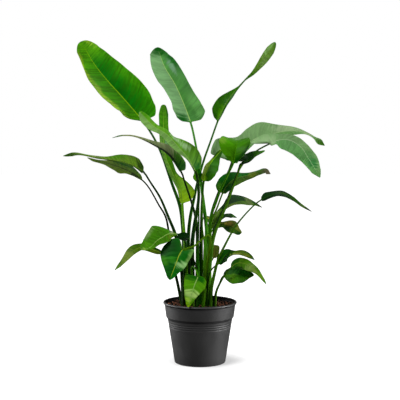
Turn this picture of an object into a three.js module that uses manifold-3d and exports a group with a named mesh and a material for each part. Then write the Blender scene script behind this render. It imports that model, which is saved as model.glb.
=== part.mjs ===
// A potted bird of paradise: a plastic nursery pot, its soil, and 28 leaves that fan out of the soil.
// Millimetres, +Z up. The origin is the middle of the pot's flat underside, and -Y is the front.
import * as THREE from "three";
import { mergeVertices } from "three/addons/utils/BufferGeometryUtils.js";
import Module from "manifold-3d";

// Driving dimensions
const sides = 32; // facets round the pot and the soil
const gap = 0.35; // between pieces that touch
const pot = {
  height: 203,
  wall: 2,
  rimRadius: 120,
  rimRoll: 4, // radius of the rolled lip
  bandTop: 115.5, // outer radius just under the lip
  bandFoot: 109.5, // outer radius at the foot of the upper band
  bandFootHeight: 153,
  bodyTop: 104.3, // outer radius where the plain body starts
  bodyTopHeight: 142,
  baseRadius: 83.5,
  baseCorner: 4,
  recess: 2, // how far the ring with the drainage holes is raised
  padRadius: 34, // flat disc in the middle of the underside
  footRing: 72, // inner radius of the ring that the pot stands on
  grooveHeights: [105, 115, 125],
  grooveDepth: 0.7,
  grooveHalf: 1.6,
  holes: 8,
  holeRadius: 5,
};
const soil = { top: 188, bump: 1.6, crown: 4 };
const root = { depth: 26, clear: 5 }; // a stalk's straight foot, below and above the soil's top
const blade = { thickness: 0.9, edge: 0.8, tip: 1.3, groove: 0.7, rib: 0.9 };

// One row per leaf. root is the foot's [x, y, radius], neck the stalk's radius under the blade.
// stalk and blade are points that the stalk and the midrib pass through, from the soil to the tip.
// face is where the upper side looks at the blade's base, middle and tip. left and right are the
// half widths at even steps from 10 to 90% of the blade, and ends are how round the base and the
// tip are, from 0, square, to 1, pointed. swell widens both halves: its place, reach and extra
// width. fold lifts each half and cup curls it up, in radians, lobe is how far each half reaches
// back at the base, and wave holds the height and number of the margin's waves. Pairs are for the
// left half and the right half.
const leaves = [
  {
    name: "leaf_high_left", colour: "#4a8a12", root: [-42, -8, 7], neck: 3.4,
    stalk: [[-50, -6, 330], [-57, 2, 450], [-67, 16, 519], [-93, 34, 590], [-124, 60, 677], [-152, 84, 736]],
    blade: [[-192, 106, 796], [-259, 120, 874], [-311, 132, 931], [-359, 152, 990], [-407, 186, 1068]],
    face: [[0.35, -0.85, 0.4], [0.3, -0.9, 0.3], [0.2, -0.95, 0.1]],
    left: [54, 68, 72, 77, 72, 63, 48, 38, 33],
    right: [75, 90, 91, 87, 83, 77, 67, 57, 43], ends: [0.34, 0.42],
    fold: [0.3, 0.1], cup: [0.35, -0.15], lobe: [-34, 30], wave: [2.5, 2.5],
  },
  {
    name: "leaf_high_middle", colour: "#4f9440", root: [14, -32, 7], neck: 3.4,
    stalk: [
      [16, -22, 300], [18, -14, 380], [22, -7, 430], [20, -2, 460],
      [14, 8, 509], [5, 26, 579], [-6, 46, 669], [-18, 62, 736],
    ],
    blade: [[-31, 70, 791], [-53, 70, 851], [-83, 72, 918], [-119, 86, 979], [-143, 124, 1044]],
    face: [[0.1, -0.95, 0.3], [0.15, -0.97, 0.2], [0.1, -0.5, 0.85]],
    left: [42, 49, 43, 45, 48, 54, 51, 43, 35],
    right: [58, 55, 48, 44, 43, 44, 44, 39, 26], ends: [0.4, 0.55],
    fold: [0.25, 0.25], cup: [0.35, 0.35], lobe: [-8, 18], wave: [2, 2],
  },
  {
    name: "leaf_narrow_upright", colour: "#5f9a12", root: [-38, -38, 7], neck: 3.8,
    stalk: [[-46, -30, 300], [-49, -26, 385], [-53, -14, 450], [-56, -4, 495]],
    blade: [[-58, 2, 524], [-65, 8, 572], [-92, 16, 630], [-115, 24, 690], [-120, 38, 765], [-121, 58, 851]],
    face: [[0.15, -0.98, 0.05], [0.6, -0.75, 0.2], [0, -1, 0.1]],
    left: [10, 13, 17, 18, 19, 19, 18, 16, 16],
    right: [46, 28, 13, 15, 18, 18, 18, 16, 16], ends: [0.5, 0.35],
    fold: [0.3, 0.3], cup: [0.3, 0.2], lobe: [4, 4], wave: [0, 1],
  },
  {
    name: "leaf_middle_left", colour: "#4f8f33", root: [-22, -28, 7], neck: 4.6,
    stalk: [
      [-25, -26, 330], [-25, -30, 400], [-18, -38, 460],
      [-8, -46, 516], [-4, -52, 561], [-7, -58, 601],
    ],
    blade: [
      [-13, -62, 633], [-36, -76, 675], [-67, -92, 713],
      [-106, -112, 756], [-147, -126, 782], [-189, -134, 827],
    ],
    face: [[0.3, -0.8, 0.5], [0.25, -0.75, 0.6], [0.2, -0.8, 0.5]],
    left: [6, 8, 16, 23, 29, 26, 18, 23, 23],
    right: [44, 48, 41, 28, 12, 14, 13, 13, 13], ends: [0.5, 0.5],
    fold: [0.1, 0.1], cup: [0.2, 0.1], lobe: [6, 6], wave: [1, 2],
  },
  {
    name: "leaf_dark_tail", colour: "#1f4410", root: [-4, -30, 7], neck: 3,
    stalk: [[-8, -28, 330], [-9, -26, 430], [-15, -26, 486], [-31, -32, 544], [-50, -42, 602]],
    blade: [
      [-61, -46, 633], [-96, -58, 689], [-149, -74, 723],
      [-203, -84, 747], [-245, -88, 751], [-279, -90, 744],
    ],
    face: [[0.45, -0.6, 0.65], [0.3, -0.35, 0.9], [-0.1, -0.2, 1]],
    left: [9, 14, 16, 14, 12, 10, 8, 7, 6],
    right: [43, 42, 40, 32, 22, 14, 8, 7, 7], ends: [0.5, 0.7],
    fold: [0.1, 0.1], cup: [0, 0], lobe: [10, 26], wave: [0, 1], swell: [0.94, 0.04, 3],
  },
  {
    name: "leaf_far_left_upper", colour: "#4f7a14", root: [-54, -24, 6.5], neck: 3.2,
    stalk: [
      [-57, -24, 270], [-63, -26, 351], [-80, -34, 427],
      [-102, -46, 485], [-128, -58, 549], [-159, -70, 600],
    ],
    blade: [
      [-181, -76, 634], [-210, -86, 654], [-247, -98, 668], [-294, -112, 676],
      [-342, -126, 685], [-390, -138, 695], [-429, -146, 688],
    ],
    face: [[0.4, -0.4, 0.8], [0.1, -0.3, 0.95], [0, -0.5, 0.85]],
    left: [31, 32, 32, 27, 20, 15, 12, 12, 16],
    right: [49, 42, 32, 23, 15, 8, 5, 6, 7], ends: [0.5, 0.7],
    fold: [0.3, 0.3], cup: [0, 0], lobe: [8, 8], wave: [1.5, 3],
  },
  {
    name: "leaf_far_left_lower", colour: "#4b6a1a", root: [-60, -4, 5], neck: 2.6, small: true,
    stalk: [
      [-74, 4, 261], [-90, 16, 329], [-101, 28, 408],
      [-113, 40, 475], [-138, 50, 519], [-168, 60, 571],
    ],
    blade: [
      [-193, 64, 600], [-228, 68, 624], [-262, 70, 640],
      [-307, 70, 655], [-349, 70, 665], [-376, 70, 675],
    ],
    face: [[0.3, -0.5, 0.8], [0.1, -0.5, 0.85], [0, -0.5, 0.85]],
    left: [9, 14, 19, 32, 27, 21, 12, 8, 8],
    right: [20, 30, 36, 35, 30, 23, 16, 10, 6], ends: [0.7, 0.8],
    fold: [0, 0], cup: [0, 0], lobe: [3, 3], wave: [1, 2],
  },
  {
    name: "leaf_high_right", colour: "#3d7a16", root: [-28, 14, 7], neck: 3,
    stalk: [
      [-36, 18, 300], [-39, 26, 399], [-33, 38, 474], [-19, 50, 543],
      [-8, 62, 594], [12, 78, 663], [35, 94, 727],
    ],
    blade: [
      [59, 110, 794], [78, 120, 839], [109, 132, 886],
      [155, 150, 937], [207, 172, 995], [259, 200, 1066],
    ],
    face: [[-0.2, -0.95, 0.2], [0.72, -0.1, -0.68], [0.2, -0.95, 0.1]],
    left: [34, 35, 25, 13, 8, 12, 17, 17, 15],
    right: [7, 7, 10, 8, 9, 21, 20, 20, 18], ends: [0.6, 0.5],
    fold: [0.1, 0.1], cup: [0.1, 0.1], lobe: [0, 0], wave: [0, 1],
  },
  {
    name: "leaf_right_long", colour: "#7aa271", root: [20, 20, 7], neck: 4,
    stalk: [
      [18, 22, 300], [25, 32, 400], [34, 42, 459], [40, 48, 493],
      [50, 58, 525], [68, 70, 571], [98, 84, 631],
    ],
    blade: [
      [108, 92, 659], [127, 100, 690], [162, 108, 722], [207, 116, 746],
      [257, 122, 757], [312, 128, 764], [366, 128, 753], [422, 121, 714],
    ],
    face: [[-0.2, -0.95, 0.2], [-0.05, -0.75, 0.65], [0.4, -0.5, 0.75]],
    left: [90, 44, 50, 56, 41, 27, 19, 7, 4],
    right: [20, 18, 14, 16, 20, 21, 18, 8, 4], ends: [0.1, 0.4],
    fold: [0, 0], cup: [0, 0], lobe: [20, 10], wave: [2.5, 2.5], swell: [0.95, 0.045, 19],
  },
  {
    name: "leaf_right_drooping", colour: "#5c9657", root: [34, 8, 6], neck: 2.6,
    stalk: [
      [31, 5, 300], [34, 2, 360], [39, 0, 400], [48, -2, 440], [61, -8, 474],
      [82, -14, 520], [107, -20, 589], [126, -24, 636], [155, -26, 677], [190, -26, 704],
    ],
    blade: [
      [224, -30, 722], [256, -44, 736], [290, -64, 735],
      [322, -84, 714], [344, -98, 681], [381, -116, 618],
    ],
    face: [[-0.1, -0.7, 0.7], [0.2, -0.65, 0.7], [0.6, -0.7, 0.35]],
    left: [54, 30, 28, 29, 28, 31, 36, 32, 22],
    right: [14, 36, 50, 53, 51, 44, 34, 27, 22], ends: [0.2, 0.8],
    fold: [0, 0], cup: [0, 0], lobe: [108, 0], wave: [0, 1],
  },
  {
    name: "leaf_heart_bright", colour: "#4f9a0c", root: [33, -8, 6.5], neck: 3.2,
    stalk: [
      [29, -8, 300], [31, -12, 390], [32, -20, 430], [37, -30, 490],
      [49, -40, 526], [66, -52, 573], [94, -76, 635],
    ],
    blade: [
      [106, -84, 661], [111, -88, 690], [116, -84, 714],
      [119, -66, 732], [120, -36, 734], [121, -8, 722],
    ],
    face: [[-0.05, -0.95, 0.3], [0, -0.75, 0.65], [0, -0.1, 1]],
    left: [22, 40, 54, 60, 56, 46, 35, 24, 15],
    right: [16, 28, 38, 45, 45, 39, 29, 19, 11], ends: [0.7, 0.5],
    fold: [0.4, 0.4], cup: [0, 0], lobe: [0, 0], wave: [0, 1],
  },
  {
    name: "leaf_heart_dark", colour: "#183a0d", root: [32, -27, 7], neck: 3.8,
    stalk: [
      [29, -26, 280], [34, -27, 350], [40, -30, 400], [50, -34, 440],
      [64, -38, 474], [83, -46, 521], [108, -52, 588], [121, -54, 626], [131, -56, 658],
    ],
    blade: [[141, -58, 666], [160, -62, 672], [181, -71, 690], [207, -84, 702]],
    face: [[-0.5, -0.5, 0.7], [-0.35, -0.5, 0.75], [0, -0.5, 0.85]],
    left: [48, 44, 41, 36, 29, 21, 14, 10, 8],
    right: [12, 10, 8, 7, 7, 8, 9, 8, 7], ends: [0.15, 0.5],
    fold: [0, 0], cup: [0, 0], lobe: [90, 30], wave: [0, 1],
  },
  {
    name: "leaf_centre_olive", colour: "#4c7413", root: [2, -10, 7], neck: 3.8,
    stalk: [[3, -12, 330], [4, -12, 430], [6, -12, 520], [9, -12, 570]],
    blade: [[12, -12, 600], [21, -10, 635], [37, -2, 662], [55, 8, 684], [76, 20, 706]],
    face: [[-0.3, -0.9, 0.25], [-0.3, -0.9, 0.3], [-0.3, -0.8, 0.5]],
    left: [10, 10, 11, 11, 8, 7, 6, 8, 7],
    right: [27, 35, 37, 38, 32, 27, 19, 13, 9], ends: [0.4, 0.6],
    fold: [0.2, 0.1], cup: [0, 0], lobe: [2, 2], wave: [1, 3],
  },
  {
    name: "leaf_centre_small", colour: "#3f8010", root: [-16, -4, 4.5], neck: 2.4, small: true,
    stalk: [[-10, 2, 330], [-5, 4, 430], [-4, 6, 520], [-3, 4, 570]],
    blade: [[-3, 2, 596], [-7, 0, 620], [-12, 2, 652]],
    face: [[-0.1, -1, 0.1], [-0.1, -1, 0.1], [-0.1, -1, 0.2]],
    left: [11, 15, 17, 17, 13, 11, 11, 11, 12],
    right: [14, 15, 16, 15, 14, 12, 10, 7, 5], ends: [0.5, 0.6],
    fold: [0.1, 0.1], cup: [0, 0], lobe: [2, 2], wave: [0, 1],
  },
  {
    name: "leaf_right_dark", colour: "#123f0b", root: [18, -8, 6.5], neck: 2.8,
    stalk: [[18, -4, 300], [24, 2, 400], [38, 10, 465], [57, 18, 512]],
    blade: [
      [74, 24, 557], [89, 30, 584], [115, 40, 606], [151, 54, 615],
      [189, 68, 627], [217, 80, 634], [237, 86, 620],
    ],
    face: [[-0.5, -0.75, 0.4], [-0.2, -0.6, 0.75], [0.2, -0.6, 0.75]],
    left: [40, 45, 41, 31, 20, 10, 6, 5, 7],
    right: [20, 26, 32, 29, 24, 22, 18, 17, 17], ends: [0.5, 0.7],
    fold: [0, 0], cup: [0, 0], lobe: [6, 6], wave: [0, 1], swell: [0.94, 0.04, 4],
  },
  {
    name: "leaf_right_arched", colour: "#2a5212", root: [36, 23, 6.5], neck: 2.8, small: true,
    stalk: [[33, 22, 300], [35, 25, 400]],
    blade: [
      [38, 34, 438], [49, 41, 466], [62, 49, 492], [84, 58, 510],
      [113, 74, 523], [144, 92, 528], [175, 108, 521], [211, 124, 504],
    ],
    face: [[-0.5, -0.5, 0.7], [-0.1, -0.5, 0.85], [0.3, -0.5, 0.8]],
    left: [6, 9, 12, 18, 36, 47, 33, 22, 12],
    right: [8, 10, 11, 11, 12, 19, 24, 17, 7], ends: [0.7, 0.8],
    fold: [0, 0], cup: [0, 0], lobe: [0, 0], wave: [0, 1],
  },
  {
    name: "leaf_thin_stalked", colour: "#25470f", root: [35, -50, 7], neck: 2.3, small: true,
    stalk: [
      [36, -52, 245], [43, -58, 285], [59, -72, 351], [84, -88, 407],
      [110, -102, 456], [136, -114, 492], [169, -128, 529],
    ],
    blade: [
      [192, -136, 548], [216, -142, 562], [249, -150, 571],
      [285, -158, 559], [315, -164, 536], [349, -170, 515],
    ],
    face: [[-0.3, -0.45, 0.85], [0.1, -0.4, 0.9], [0.4, -0.35, 0.85]],
    left: [29, 22, 17, 18, 14, 11, 10, 9, 7],
    right: [18, 18, 19, 18, 15, 14, 9, 9, 7], ends: [0.5, 0.8],
    fold: [0, 0], cup: [0, 0], lobe: [4, 4], wave: [0, 1],
  },
  {
    name: "leaf_small_right", colour: "#33611a", root: [6, 12, 4.5], neck: 2.2, small: true,
    stalk: [[11, 13, 300], [24, 14, 400], [44, 14, 440]],
    blade: [[62, 14, 465], [78, 14, 483], [98, 16, 485], [122, 18, 479]],
    face: [[-0.3, -0.45, 0.85], [0, -0.45, 0.85], [0.3, -0.45, 0.85]],
    left: [10, 12, 13, 11, 12, 13, 15, 12, 6],
    right: [5, 7, 9, 9, 10, 11, 12, 7, 5], ends: [0.6, 0.7],
    fold: [0, 0], cup: [0, 0], lobe: [0, 0], wave: [0, 1],
  },
  {
    name: "leaf_brown_right", colour: "#3a3208", root: [18, 42, 4.5], neck: 2.2, small: true,
    stalk: [[18, 48, 300], [14, 58, 390], [8, 66, 440]],
    blade: [[12, 68, 474], [37, 68, 468], [62, 60, 459], [89, 50, 454], [112, 34, 445], [136, 22, 425]],
    face: [[0.1, -0.7, 0.7], [0.15, -0.8, 0.6], [0.2, -0.9, 0.4]],
    left: [8, 10, 8, 5, 8, 18, 23, 17, 10],
    right: [10, 22, 34, 26, 18, 22, 26, 25, 17], ends: [0.5, 0.3],
    fold: [0, 0], cup: [0, 0], lobe: [0, 0], wave: [2, 2],
  },
  {
    name: "leaf_brown_stub", colour: "#3d2f08", root: [34, 40, 4], neck: 2.2, small: true,
    stalk: [[32, 43, 290], [33, 48, 320]],
    blade: [[45, 50, 340], [49, 48, 360], [51, 46, 384]],
    face: [[0, -1, 0.1], [0, -1, 0.1], [0, -1, 0.1]],
    left: [7, 10, 12, 13, 14, 14, 14, 14, 13],
    right: [9, 12, 14, 15, 15, 15, 15, 15, 14], ends: [0.4, 0.2],
    fold: [0, 0], cup: [0, 0], lobe: [0, 0], wave: [0, 1],
  },
  {
    name: "leaf_low_right_arched", colour: "#3d5a10", root: [22, -42, 4], neck: 2.2, small: true,
    stalk: [[27, -40, 262], [34, -42, 306], [48, -46, 325]],
    blade: [
      [60, -48, 333], [72, -54, 352], [89, -64, 369], [114, -78, 375],
      [138, -90, 377], [159, -100, 369], [174, -108, 355],
    ],
    face: [[-0.5, -0.75, 0.4], [-0.1, -0.5, 0.85], [0.3, -0.5, 0.8]],
    left: [22, 24, 22, 13, 9, 11, 10, 8, 5],
    right: [15, 22, 28, 21, 14, 15, 18, 18, 15], ends: [0.5, 0.8],
    fold: [0, 0], cup: [0, 0], lobe: [4, 4], wave: [0, 1],
  },
  {
    name: "leaf_low_right_upper", colour: "#2f6a12", root: [49, -52, 4.5], neck: 2.2, small: true,
    stalk: [[53, -59, 241], [67, -72, 277], [84, -86, 308]],
    blade: [[99, -94, 327], [118, -104, 343], [146, -118, 343], [176, -130, 324], [210, -142, 282]],
    face: [[-0.3, -0.6, 0.75], [0.2, -0.7, 0.7], [0.6, -0.7, 0.4]],
    left: [19, 23, 21, 19, 15, 14, 12, 9, 7],
    right: [18, 21, 24, 25, 23, 17, 9, 6, 5], ends: [0.5, 0.8],
    fold: [0, 0], cup: [0, 0], lobe: [3, 3], wave: [0, 1],
  },
  {
    name: "leaf_low_right_lower", colour: "#2c5a10", root: [46, -38, 5], neck: 2.4, small: true,
    stalk: [[52, -42, 238], [64, -47, 270]],
    blade: [[76, -53, 294], [104, -65, 300], [137, -80, 302], [173, -94, 303]],
    face: [[-0.1, -0.85, 0.5], [0, -0.8, 0.6], [0.1, -0.8, 0.6]],
    left: [20, 26, 29, 29, 28, 26, 22, 16, 11],
    right: [17, 24, 31, 34, 33, 31, 29, 21, 10], ends: [0.7, 0.6],
    fold: [0, 0], cup: [0, 0], lobe: [0, 0], wave: [0, 1],
  },
  {
    name: "leaf_low_left_bright", colour: "#4f8d14", root: [-54, -42, 5], neck: 2.6, small: true,
    stalk: [[-52, -46, 280], [-47, -48, 361], [-47, -48, 404], [-56, -48, 425]],
    blade: [
      [-73, -52, 431], [-100, -68, 434], [-118, -84, 426],
      [-138, -102, 415], [-159, -120, 396], [-185, -140, 391],
    ],
    face: [[0.1, -0.75, 0.65], [0.1, -0.8, 0.6], [0.1, -0.8, 0.6]],
    left: [12, 18, 24, 24, 21, 16, 12, 8, 6],
    right: [8, 20, 49, 53, 46, 40, 36, 34, 26], ends: [0.7, 0.5],
    fold: [0, 0], cup: [0, 0], lobe: [0, 0], wave: [0, 1],
  },
  {
    name: "leaf_low_left_outer", colour: "#5a7a14", root: [-8, -46, 4.5], neck: 2, small: true,
    stalk: [[-9, -48, 260], [-13, -52, 322], [-27, -56, 355], [-60, -57, 362], [-92, -55, 365]],
    blade: [
      [-118, -51, 369], [-143, -46, 376], [-170, -44, 385], [-193, -50, 388],
      [-217, -58, 377], [-241, -66, 353], [-275, -76, 317],
    ],
    face: [[-0.1, -0.8, 0.6], [-0.1, -0.75, 0.65], [-0.2, -0.8, 0.5]],
    left: [11, 12, 12, 12, 14, 13, 11, 9, 7],
    right: [9, 11, 12, 15, 20, 19, 14, 9, 6], ends: [0.6, 0.9],
    fold: [0, 0], cup: [0, 0], lobe: [0, 0], wave: [0, 1],
  },
  {
    name: "leaf_low_left_dark", colour: "#12330a", root: [-33, -53, 4], neck: 2, small: true,
    stalk: [[-34, -50, 300], [-36, -46, 365], [-36, -54, 396]],
    blade: [[-38, -64, 417], [-52, -70, 425], [-66, -74, 422], [-80, -76, 413]],
    face: [[0.1, -0.9, 0.4], [0.1, -0.9, 0.4], [0, -0.9, 0.4]],
    left: [12, 14, 15, 14, 13, 11, 7, 5, 4],
    right: [13, 14, 15, 14, 14, 13, 10, 6, 4], ends: [0.4, 0.7],
    fold: [0, 0], cup: [0, 0], lobe: [0, 0], wave: [0, 1],
  },
  {
    name: "leaf_low_left_heart", colour: "#1d5a0e", root: [10, -50, 5], neck: 2.6,
    stalk: [
      [16, -54, 280], [26, -60, 351], [34, -66, 407], [27, -72, 430],
      [4, -80, 415], [-18, -88, 397], [-40, -95, 390],
    ],
    blade: [[-55, -99, 386], [-67, -104, 368], [-76, -110, 345], [-86, -116, 319], [-97, -122, 292]],
    face: [[-0.1, -0.9, 0.4], [-0.15, -0.95, 0.25], [-0.1, -0.98, 0.1]],
    left: [36, 38, 36, 34, 32, 27, 20, 15, 10],
    right: [50, 60, 61, 57, 51, 43, 34, 25, 16], ends: [0.4, 0.6],
    fold: [0.05, 0.05], cup: [-0.2, -0.2], lobe: [48, 44], wave: [1.5, 2],
  },
  {
    name: "leaf_low_front", colour: "#6a9d1c", root: [-20, -48, 4.5], neck: 2.2,
    stalk: [[-22, -52, 250], [-27, -62, 309], [-25, -74, 328], [-16, -90, 324]],
    blade: [[-7, -100, 301], [-17, -112, 275], [-27, -122, 244], [-38, -124, 204]],
    face: [[0.1, -0.95, 0.3], [0, -0.97, 0.2], [0, -1, 0.1]],
    left: [31, 34, 34, 30, 25, 20, 15, 11, 7],
    right: [43, 39, 35, 32, 28, 24, 20, 15, 10], ends: [0.4, 0.7],
    fold: [0.05, 0.05], cup: [-0.1, -0.1], lobe: [6, 6], wave: [0, 1],
  },
];

const wasm = await Module();
wasm.setup();

// A geometry as a solid that can be joined and cut: only positions, shared vertices merged.
function solidOf(geometry) {
  const plain = geometry.index ? geometry.toNonIndexed() : geometry.clone();
  const bare = new THREE.BufferGeometry();
  bare.setAttribute("position", plain.getAttribute("position"));
  const merged = mergeVertices(bare, 1e-3);
  return new wasm.Manifold(
    new wasm.Mesh({
      numProp: 3,
      vertProperties: merged.attributes.position.array,
      triVerts: new Uint32Array(merged.index.array),
    }),
  );
}

function geometryOf(solid) {
  const mesh = solid.getMesh();
  const geometry = new THREE.BufferGeometry();
  geometry.setAttribute("position", new THREE.BufferAttribute(mesh.vertProperties, 3));
  geometry.setIndex(new THREE.BufferAttribute(mesh.triVerts, 1));
  return geometry;
}

// A profile of [radius, height] pairs turned round Z. It runs anticlockwise, seen with the axis
// on its left, so the faces point out.
function turned(profile) {
  const points = profile.map(([radius, height]) => new THREE.Vector2(radius, height));
  return new THREE.LatheGeometry(points, sides).rotateX(Math.PI / 2);
}

function mattMaterial(colour, roughness) {
  return new THREE.MeshStandardMaterial({ color: colour, roughness, metalness: 0 });
}

// Outer radius of the pot's plain body at a height.
function bodyRadius(height) {
  const share = (height - pot.baseCorner) / (pot.bodyTopHeight - pot.baseCorner);
  return pot.baseRadius + (pot.bodyTop - pot.baseRadius) * share;
}

// The pot's inner wall, from the floor up to the lip, as [radius, height] pairs.
function innerWall(inset) {
  const floor = pot.recess + pot.wall + inset;
  const bandInner = pot.bandTop - pot.wall - inset;
  return [
    [bodyRadius(floor) - pot.wall - inset, floor],
    [pot.bodyTop - pot.wall - inset, pot.bodyTopHeight],
    [pot.bandFoot - pot.wall - inset, pot.bandFootHeight],
    [bandInner, pot.height - 2 * pot.rimRoll],
  ];
}

function potGeometry() {
  const centre = pot.rimRadius - pot.rimRoll;
  const lip = [-60, 0, 60, 120].map((degrees) => {
    const angle = THREE.MathUtils.degToRad(degrees);
    const radius = centre + pot.rimRoll * Math.cos(angle);
    return [radius, pot.height - pot.rimRoll + pot.rimRoll * Math.sin(angle)];
  });
  const grooves = pot.grooveHeights.flatMap((height) => [
    [bodyRadius(height - pot.grooveHalf), height - pot.grooveHalf],
    [bodyRadius(height) - pot.grooveDepth, height],
    [bodyRadius(height + pot.grooveHalf), height + pot.grooveHalf],
  ]);
  const profile = [
    [0, 0],
    [pot.padRadius, 0],
    [pot.padRadius + pot.recess, pot.recess],
    [pot.footRing - pot.recess, pot.recess],
    [pot.footRing, 0],
    [pot.baseRadius - pot.baseCorner, 0],
    [pot.baseRadius - 1, 1],
    [pot.baseRadius, pot.baseCorner],
    ...grooves,
    [pot.bodyTop, pot.bodyTopHeight],
    [pot.bandFoot, pot.bandFootHeight],
    [pot.bandTop, pot.height - 2.4 * pot.rimRoll],
    ...lip,
    ...innerWall(0).reverse(),
    [0, pot.recess + pot.wall],
  ];
  const holes = Array.from({ length: pot.holes }, (_, k) => {
    const angle = (2 * Math.PI * (k + 0.5)) / pot.holes;
    const middle = (pot.padRadius + pot.footRing) / 2;
    const drill = new THREE.CylinderGeometry(pot.holeRadius, pot.holeRadius, 12, 10);
    drill.rotateX(Math.PI / 2);
    return solidOf(drill.translate(middle * Math.cos(angle), middle * Math.sin(angle), 2));
  });
  const body = solidOf(turned(profile));
  return geometryOf(holes.reduce((rest, hole) => rest.subtract(hole), body));
}

// Rings of points, each a closed loop, skinned into one closed body with a fan over each end.
// The first half of a ring is the upper row and the second half the lower row, and the two rows
// split their quads along the same diagonal, so a thin blade's faces never cross.
function skin(rings) {
  const count = rings[0].length;
  const positions = rings.flat().flatMap((point) => point.toArray());
  const triangles = [];
  for (let i = 0; i + 1 < rings.length; i++) {
    for (let k = 0; k < count; k++) {
      const next = (k + 1) % count;
      const [a, b] = [i * count + k, i * count + next];
      const [c, d] = [b + count, a + count];
      triangles.push(...(k < count / 2 ? [a, b, c, a, c, d] : [a, b, d, b, c, d]));
    }
  }
  [0, rings.length - 1].forEach((i) => {
    const middle = new THREE.Vector3();
    rings[i].forEach((point) => middle.addScaledVector(point, 1 / count));
    const hub = positions.length / 3;
    positions.push(...middle.toArray());
    for (let k = 0; k < count; k++) {
      const [a, b] = [i * count + k, i * count + ((k + 1) % count)];
      triangles.push(...(i === 0 ? [hub, b, a] : [hub, a, b]));
    }
  });
  const geometry = new THREE.BufferGeometry();
  geometry.setAttribute("position", new THREE.Float32BufferAttribute(positions, 3));
  geometry.setIndex(triangles);
  return geometry;
}

// A ring of points on a circle, as an upper row from left to right and a lower row back.
function roundRing(centre, across, up, radius, rowPoints) {
  return Array.from({ length: 2 * rowPoints }, (_, k) => {
    const angle = Math.PI - (Math.PI * (k + 0.5)) / rowPoints;
    return centre
      .clone()
      .addScaledVector(across, radius * Math.cos(angle))
      .addScaledVector(up, radius * Math.sin(angle));
  });
}

// The upright foot of a leaf: its ring at a height, grown outwards by some clearance.
function footRing(leaf, frame, height, clearance) {
  const rowPoints = leaf.small ? 5 : 7;
  const centre = new THREE.Vector3(leaf.root[0], leaf.root[1], height);
  const radius = leaf.root[2] + clearance / Math.cos(Math.PI / (2 * rowPoints));
  return roundRing(centre, frame.across, frame.up, radius, rowPoints);
}

// The part of a vector that is square to a direction, at length 1.
function squareTo(vector, direction) {
  return vector.clone().addScaledVector(direction, -vector.dot(direction)).normalize();
}

// The spine of a leaf, and the frame of each ring on it. Down the stalk the frame is carried
// along with no twist of its own, and along the blade it follows the leaf's face.
function framesOf(leaf) {
  const foot = [leaf.root[0], leaf.root[1], soil.top + root.clear];
  const points = [foot, ...leaf.stalk, ...leaf.blade].map((p) => new THREE.Vector3(...p));
  const curve = new THREE.CatmullRomCurve3(points, false, "catmullrom", 0.5);
  const fine = 20;
  const lengths = curve.getLengths(fine * (points.length - 1));
  const neck = lengths[fine * (leaf.stalk.length + 1)] / lengths[lengths.length - 1];
  const faces = leaf.face.map((f) => new THREE.Vector3(...f));
  const frameAt = (share, upFrom) => {
    const along = curve.getTangentAt(share);
    const up = squareTo(upFrom, along);
    return { centre: curve.getPointAt(share), along, up, across: along.clone().cross(up) };
  };
  const bladeRings = leaf.small ? 8 : 10;
  const bladeFrames = Array.from({ length: bladeRings + 1 }, (_, i) => {
    const even = i / bladeRings;
    const t = 0.3 * even + 0.35 * (1 - Math.cos(Math.PI * even));
    const half = t < 0.5 ? 0 : 1;
    const face = faces[half].clone().lerp(faces[half + 1], 2 * t - half);
    return { ...frameAt(neck + (1 - neck) * t, face), t };
  });
  const stalkRings = leaf.stalk.length + 3;
  const stalkFrames = [];
  let up = bladeFrames[0].up;
  for (let i = stalkRings - 1; i >= 0; i--) {
    const frame = frameAt((neck * i) / stalkRings, up);
    if (i === 0) {
      frame.along.set(0, 0, 1);
      frame.up = squareTo(up, frame.along);
      frame.across = frame.along.clone().cross(frame.up);
    }
    up = frame.up;
    stalkFrames.unshift({ ...frame, s: i / stalkRings });
  }
  return { stalkFrames, bladeFrames };
}

// The half width at a share t of the blade: a smooth cubic through the stations.
function halfWidth(stations, t) {
  const last = stations.length - 1;
  const place = THREE.MathUtils.clamp(((t - 0.1) / 0.8) * last, 0, last);
  const first = Math.min(last - 1, Math.floor(place));
  const [p, q, r, s] = [-1, 0, 1, 2].map((step) => {
    return stations[THREE.MathUtils.clamp(first + step, 0, last)];
  });
  const x = place - first;
  const [slopeQ, slopeR] = [(r - p) / 2, (s - q) / 2];
  const square = 3 * (r - q) - 2 * slopeQ - slopeR;
  const cube = 2 * (q - r) + slopeQ + slopeR;
  return q + slopeQ * x + square * x ** 2 + cube * x ** 3;
}

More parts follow.
